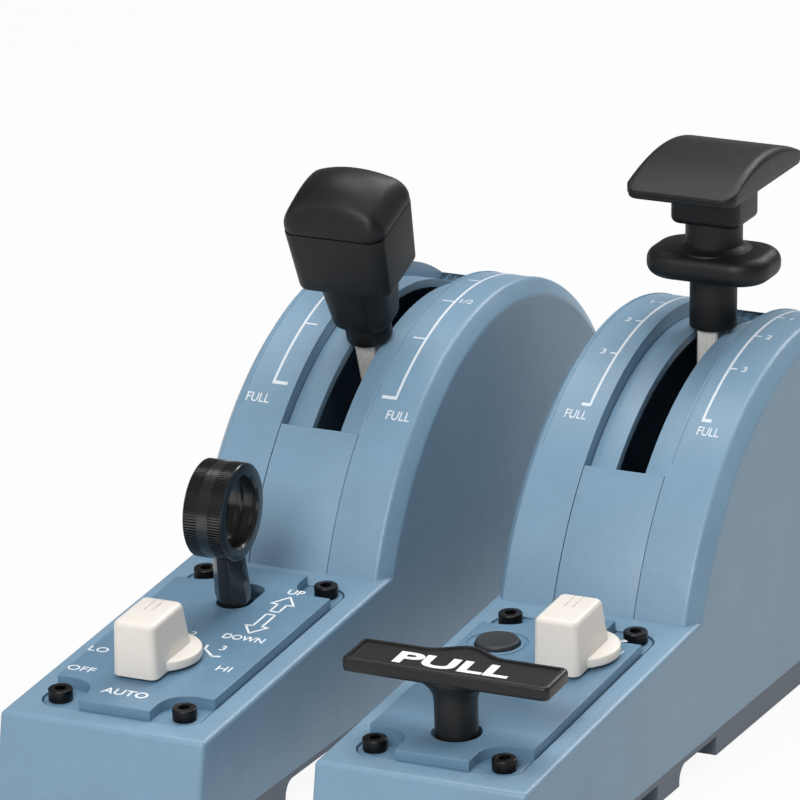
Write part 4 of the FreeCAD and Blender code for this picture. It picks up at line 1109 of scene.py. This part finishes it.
# %% Parking grip
def grip_outline():
    """Bar outline with a smooth bulge at the rear, in the order of a walk round it."""
    front, rear, bulge, span = -6.2, 6.2, 3.9, 9.5
    points = [(-24.4, front), (24.4, front), (24.4, rear)]
    for k in range(25):
        x = span - 2 * span * k / 24
        points.append((x, rear + bulge * (0.5 + 0.5 * math.cos(math.pi * x / span))))
    return points + [(-24.4, rear)]


def flared_stem():
    """Round stem that widens into the bar, more across than in depth."""
    stem = rod("stem", 4.8, -9.0, 15.9)
    edit(stem)
    rings = ((9.5, 1.0, 1.0), (11.0, 1.03, 1.01), (12.3, 1.12, 1.05), (13.4, 1.3, 1.11), (14.3, 1.6, 1.18),
             (15.0, 1.98, 1.24), (15.5, 2.4, 1.27), (15.9, 2.6, 1.27))
    for z, _, _ in rings[:-1]:
        bpy.ops.mesh.select_all(action="SELECT")
        bpy.ops.mesh.bisect(plane_co=(0, 0, z), plane_no=(0, 0, 1))
    done()
    for z, wide, deep in rings:
        pick(stem, lambda p, z=z: abs(p.z - z) < 0.01)
        bpy.ops.transform.resize(value=(wide, deep, 1), center_override=(0, 0, z))
        done()
    return stem


def parking_grip():
    low, thick = 15.4, 3.4
    bar = extruded("parking_grip_bar", [(x, y, low) for x, y in grip_outline()], (0, 0, thick))
    bevel_edges(bar, lambda a, b: abs(a.z - b.z) > 1 and min(abs(a.x), abs(b.x)) > 24, 1.6, 6)
    bevel_edges(bar, lambda a, b: ring_edges(low)(a, b) or ring_edges(low + thick)(a, b), 0.9, 5)
    mesh = edit(bar, "FACE", "DESELECT")
    upper = [face for face in mesh.faces if face.normal.z > 0.9 and face.calc_center_median().z > 18]
    max(upper, key=lambda face: face.calc_area()).select_set(True)
    bmesh.update_edit_mesh(bar.data)
    bpy.ops.mesh.inset(thickness=0.45)
    bpy.ops.mesh.inset(thickness=0.12, depth=-0.45)
    done()
    return together(bar, flared_stem())


grip = place(parking_grip(), on_deck("right", *grip_place), smooth=35)
hand_over(grip, "parking_grip", "grip_black", grip_black, "park_handle")
print("parking grip:", len(grip.data.polygons), "faces")

# %% [markdown]
# ## Push button
# A short black cap with a rounded rim and a shallow dish on top. The dish is where a very large sphere
# dips into the cap by a fifth of a millimetre.

# %% Button cap
def button():
    top, dish_radius, dish_depth = 3.5, 40, 0.22
    cap = rod("push_button_cap", 5.0, -2.2, top)
    soften(cap, 0.55, 5, 50)
    bpy.ops.object.select_all(action="DESELECT")
    bpy.ops.mesh.primitive_uv_sphere_add(segments=128, ring_count=128, radius=dish_radius,
                                         location=(0, 0, top + dish_radius - dish_depth))
    cut(cap, bpy.context.object)
    return together(cap, rod("stem", 1.5, -5.5, -2.0, sides=32))


cap = place(button(), on_deck("right", *button_place), smooth=30)
hand_over(cap, "push_button", "button_black", button_black, "button_cap")
print("button cap:", len(cap.data.polygons), "faces")

# %% [markdown]
# ## Legends
# The legends are printed. Each is a mesh a few hundredths of a millimetre thick that lies on its
# surface: words start as text, turned into a mesh at once, and scale lines are thin arcs about the lever
# axis. The words are plain ones that say what a setting does.

# %% Words and lines
print_thick = 0.05


def word(text, height, x, y, width=None, bold=0.0):
    """Text as a mesh, centred on (x, y), with capitals of the given height in millimetres."""
    drawn_thick = 0.02
    bpy.ops.object.select_all(action="DESELECT")
    bpy.ops.object.text_add(location=(0, 0, 0))
    obj = bpy.context.object
    obj.data.body = text
    obj.data.extrude = drawn_thick / 2
    obj.data.offset = bold
    bpy.ops.object.convert(target="MESH")
    obj = bpy.context.object
    low = [min(v.co[i] for v in obj.data.vertices) for i in range(2)]
    high = [max(v.co[i] for v in obj.data.vertices) for i in range(2)]
    tall = height / (high[1] - low[1])
    wide = width / (high[0] - low[0]) if width else tall
    middle = [(low[i] + high[i]) / 2 for i in range(2)]
    obj.location = (x - middle[0] * wide, y - middle[1] * tall, print_thick / 2)
    obj.scale = (wide, tall, print_thick / drawn_thick)
    bpy.ops.object.transform_apply(location=True, rotation=True, scale=True)
    return drop_stray(outward(obj))


def bar_line(a, b, width):
    """Flat line between two points of a surface."""
    a, b = Vector((*a, 0)), Vector((*b, 0))
    along = (b - a).normalized() * width / 2
    across = Vector((-along.y, along.x, 0))
    corners = [a - along - across, b + along - across, b + along + across, a - along + across]
    return extruded("line", corners, (0, 0, print_thick))


def closed_line(points, width):
    return together(*[bar_line(a, b, width) for a, b in zip(points, points[1:] + points[:1])])


def on_crown(obj, degrees, x):
    """Lay something drawn flat on the crown's label, upright for a reader in front."""
    turn, radius = math.radians(degrees), 75.36
    point = Vector((x, axis_y + radius * math.cos(turn), axis_z + radius * math.sin(turn)))
    return settle(obj, Matrix.Translation(point) @ Matrix.Rotation(turn - math.pi / 2, 4, "X"))


def print_arc(x0, x1, low, high):
    """Line of print that runs over the crown between two angles."""
    steps = max(2, int(high - low))
    return crown_band("print", (x0, x1), (75.355, 75.41), low, high, steps)


print("printing tools ready")

# %% [markdown]
# The scales run over the crown on both sides of the track. Left and right are mirror images, so a sign
# places each line and word, and the words themselves stay readable.

# %% Scales beside the levers
def scale(line_x, tick_x, corner, ticks, labels, full_x, full_width, full_at):
    """Both scales of one hump: an arc with ticks, a heavy corner at full travel and its words."""
    half_line, half_heavy, half_tick = 0.3, 0.35, 0.18
    pieces = []
    for sign in (-1, 1):
        middle = sign * line_x
        near, far = sorted((middle, sign * tick_x))
        pieces.append(print_arc(middle - half_line, middle + half_line, 72, corner + half_line))
        pieces.append(print_arc(near - half_line, far + half_line,
                                corner - half_heavy, corner + half_heavy))
        pieces += [print_arc(near, far, at - half_tick, at + half_tick) for at in ticks]
        pieces += [on_crown(word(text, 2.1, 0, 0, bold=0.01), at, sign * x) for text, at, x in labels]
        full = word("FULL", 2.5, 0, 0, width=full_width, bold=0.01)
        pieces.append(on_crown(full, full_at, sign * full_x))
    return together(*pieces)


brake_scale = scale(15.65, 12.4, 127.1, (112.2, 99.2, 87.6, 76.0), [("1/2", 98.6, 18.3)],
                    17.9, 5.9, 130.7)
digits = [("3", 109.1, 17.5), ("2", 97.3, 17.5), ("1", 86.3, 17.5)]
flap_scale = scale(13.9, 15.7, 122.9, (109.3, 97.4, 86.3, 76.0), digits, 16.3, 5.3, 125.3)
for obj, side, name in ((brake_scale, "left", "brake_scale"), (flap_scale, "right", "flap_scale")):
    obj.name = name
    hand_over(place(obj, in_module(side)), "modules", "blue_shell", scale_print)
print("scales printed")

# %% [markdown]
# The left panel has the words and figures round the selector, a short bent line there, and the words and
# arrows of the gear lever. The arrows are drawn as closed lines. The right panel has only two figures and
# a small mark.

# %% Legends of the panels
up_arrow = [(10.6, 74.7), (7.9, 70.2), (9.6, 70.2), (9.6, 65.9), (11.8, 65.9), (11.8, 70.2), (13.5, 70.2)]
down_arrow = [(10.6, 52.9), (13.4, 57.0), (11.8, 57.0), (11.8, 64.1), (9.6, 64.1), (9.6, 57.0), (7.8, 57.0)]
left_words = together(
    word("UP", 2.6, 10.7, 77.6, width=4.0, bold=0.012),
    word("DOWN", 2.6, 10.8, 49.8, width=10.0, bold=0.012),
    closed_line(up_arrow, 0.5), closed_line(down_arrow, 0.5),
    bar_line((4.9, 43.4), (5.1, 41.6), 0.6), bar_line((5.1, 41.6), (8.5, 38.2), 0.6),
    bar_line((8.5, 38.2), (10.1, 38.6), 0.6), word("3", 2.5, 8.9, 43.2), word("2", 2.5, -1.0, 48.2),
    word("HI", 2.6, 14.1, 32.8, width=3.4), word("LO", 2.6, -17.0, 33.0, width=4.6),
    word("OFF", 2.6, -15.8, 21.9, width=6.6), word("AUTO", 3.0, -0.6, 13.3, width=11.0, bold=0.012))
right_words = together(
    closed_line([(15.6, 77.9), (14.4, 77.2), (14.6, 78.4)], 0.35), word("0", 2.3, 8.5, 78.4),
    word("1", 2.3, 17.0, 71.5))
for obj, side in ((left_words, "left"), (right_words, "right")):
    obj.name = side + "_panel_words"
    place(obj, on_deck(side) @ Matrix.Translation((0, 0, panel_rise + 0.005)))
    hand_over(obj, "modules", "blue_panel", white_print)
print("panel words printed")

# %% [markdown]
# The parking grip carries its legend on its sunk face: one plain word in heavy capitals.

# %% Word on the grip
grip_word = word("PULL", 6.0, 0, -0.4, width=27.0, bold=0.03)
grip_word.name = "parking_grip_word"
place(grip_word, on_deck("right", *grip_place) @ Matrix.Translation((0, 0, 18.36)))
hand_over(grip_word, "parking_grip", "grip_black", white_print)
print("grip word printed")

# %% [markdown]
# ## Floor and light
# The floor is pale and plain and reaches past the view on all sides. Making it bright with lamps would
# wash out the object, so it also glows, but only for rays from the camera, in gloss and through glass.
# A small share of its own shading stays, and that keeps the object's shadow.

# %% Floor
def studio_floor():
    bpy.ops.object.select_all(action="DESELECT")
    bpy.ops.mesh.primitive_plane_add(size=12, location=(0, 1.5, -0.0002))
    floor = bpy.context.object
    floor.name = "studio_floor"
    material, nodes, links, shader = new_material("pale_floor")
    shader.inputs["Base Color"].default_value = (0.6, 0.6, 0.6, 1)
    shader.inputs["Roughness"].default_value = 0.9
    glow = nodes.new("ShaderNodeEmission")
    glow.inputs["Strength"].default_value = 1.0
    rays = nodes.new("ShaderNodeLightPath").outputs
    mix = nodes.new("ShaderNodeMixShader")

    def combined(operation, first, second):
        node = nodes.new("ShaderNodeMath")
        node.operation = operation
        links.new(first, node.inputs[0])
        if isinstance(second, float):
            node.inputs[1].default_value = second
        else:
            links.new(second, node.inputs[1])
        return node.outputs[0]

    seen = combined("MAXIMUM", rays["Is Camera Ray"], rays["Is Glossy Ray"])
    seen = combined("MAXIMUM", seen, rays["Is Transmission Ray"])
    links.new(combined("MULTIPLY", seen, 0.93), mix.inputs[0])
    links.new(shader.outputs[0], mix.inputs[1])
    links.new(glow.outputs[0], mix.inputs[2])
    links.new(mix.outputs[0], nodes["Material Output"].inputs["Surface"])
    floor.data.materials.append(material)
    return floor


floor = studio_floor()
print("floor laid:", floor.name)

# %% [markdown]
# A large soft panel in front and above is the main light. A second one overhead brightens the crowns and
# panels, and two weaker ones draw the rims from behind and open the shadows on the left. A dim white
# world fills what is left. The levels are low, so that a colour shows about as it was written.

# %% Lamps and world
lamp_aim = Vector((0, 0, 0.05))


def soft_lamp(name, place_m, size_m, watts):
    bpy.ops.object.select_all(action="DESELECT")
    bpy.ops.object.light_add(type="AREA", location=place_m)
    lamp = bpy.context.object
    lamp.name = name
    lamp.data.shape = "RECTANGLE"
    lamp.data.size, lamp.data.size_y = size_m
    lamp.data.energy = watts
    toward = lamp_aim - Vector(place_m)
    lamp.rotation_euler = toward.to_track_quat("-Z", "Y").to_euler()
    return lamp


lamps = [soft_lamp("key_lamp", (0.15, -1.15, 0.85), (0.6, 0.6), 13.5),
         soft_lamp("top_lamp", (-0.1, 0.3, 1.35), (0.9, 0.7), 10.5),
         soft_lamp("rim_lamp", (0.3, 1.0, 0.9), (0.7, 0.4), 8),
         soft_lamp("left_fill", (-1.3, -0.8, 0.7), (0.8, 0.8), 3)]

world = bpy.data.worlds.new("studio_world")
bpy.context.scene.world = world
world.use_nodes = True
sky = world.node_tree.nodes["Background"]
sky.inputs["Color"].default_value = (1, 1, 1, 1)
sky.inputs["Strength"].default_value = 0.15
bpy.context.scene.view_settings.view_transform = "Standard"
print("lamps:", [lamp.name for lamp in lamps])
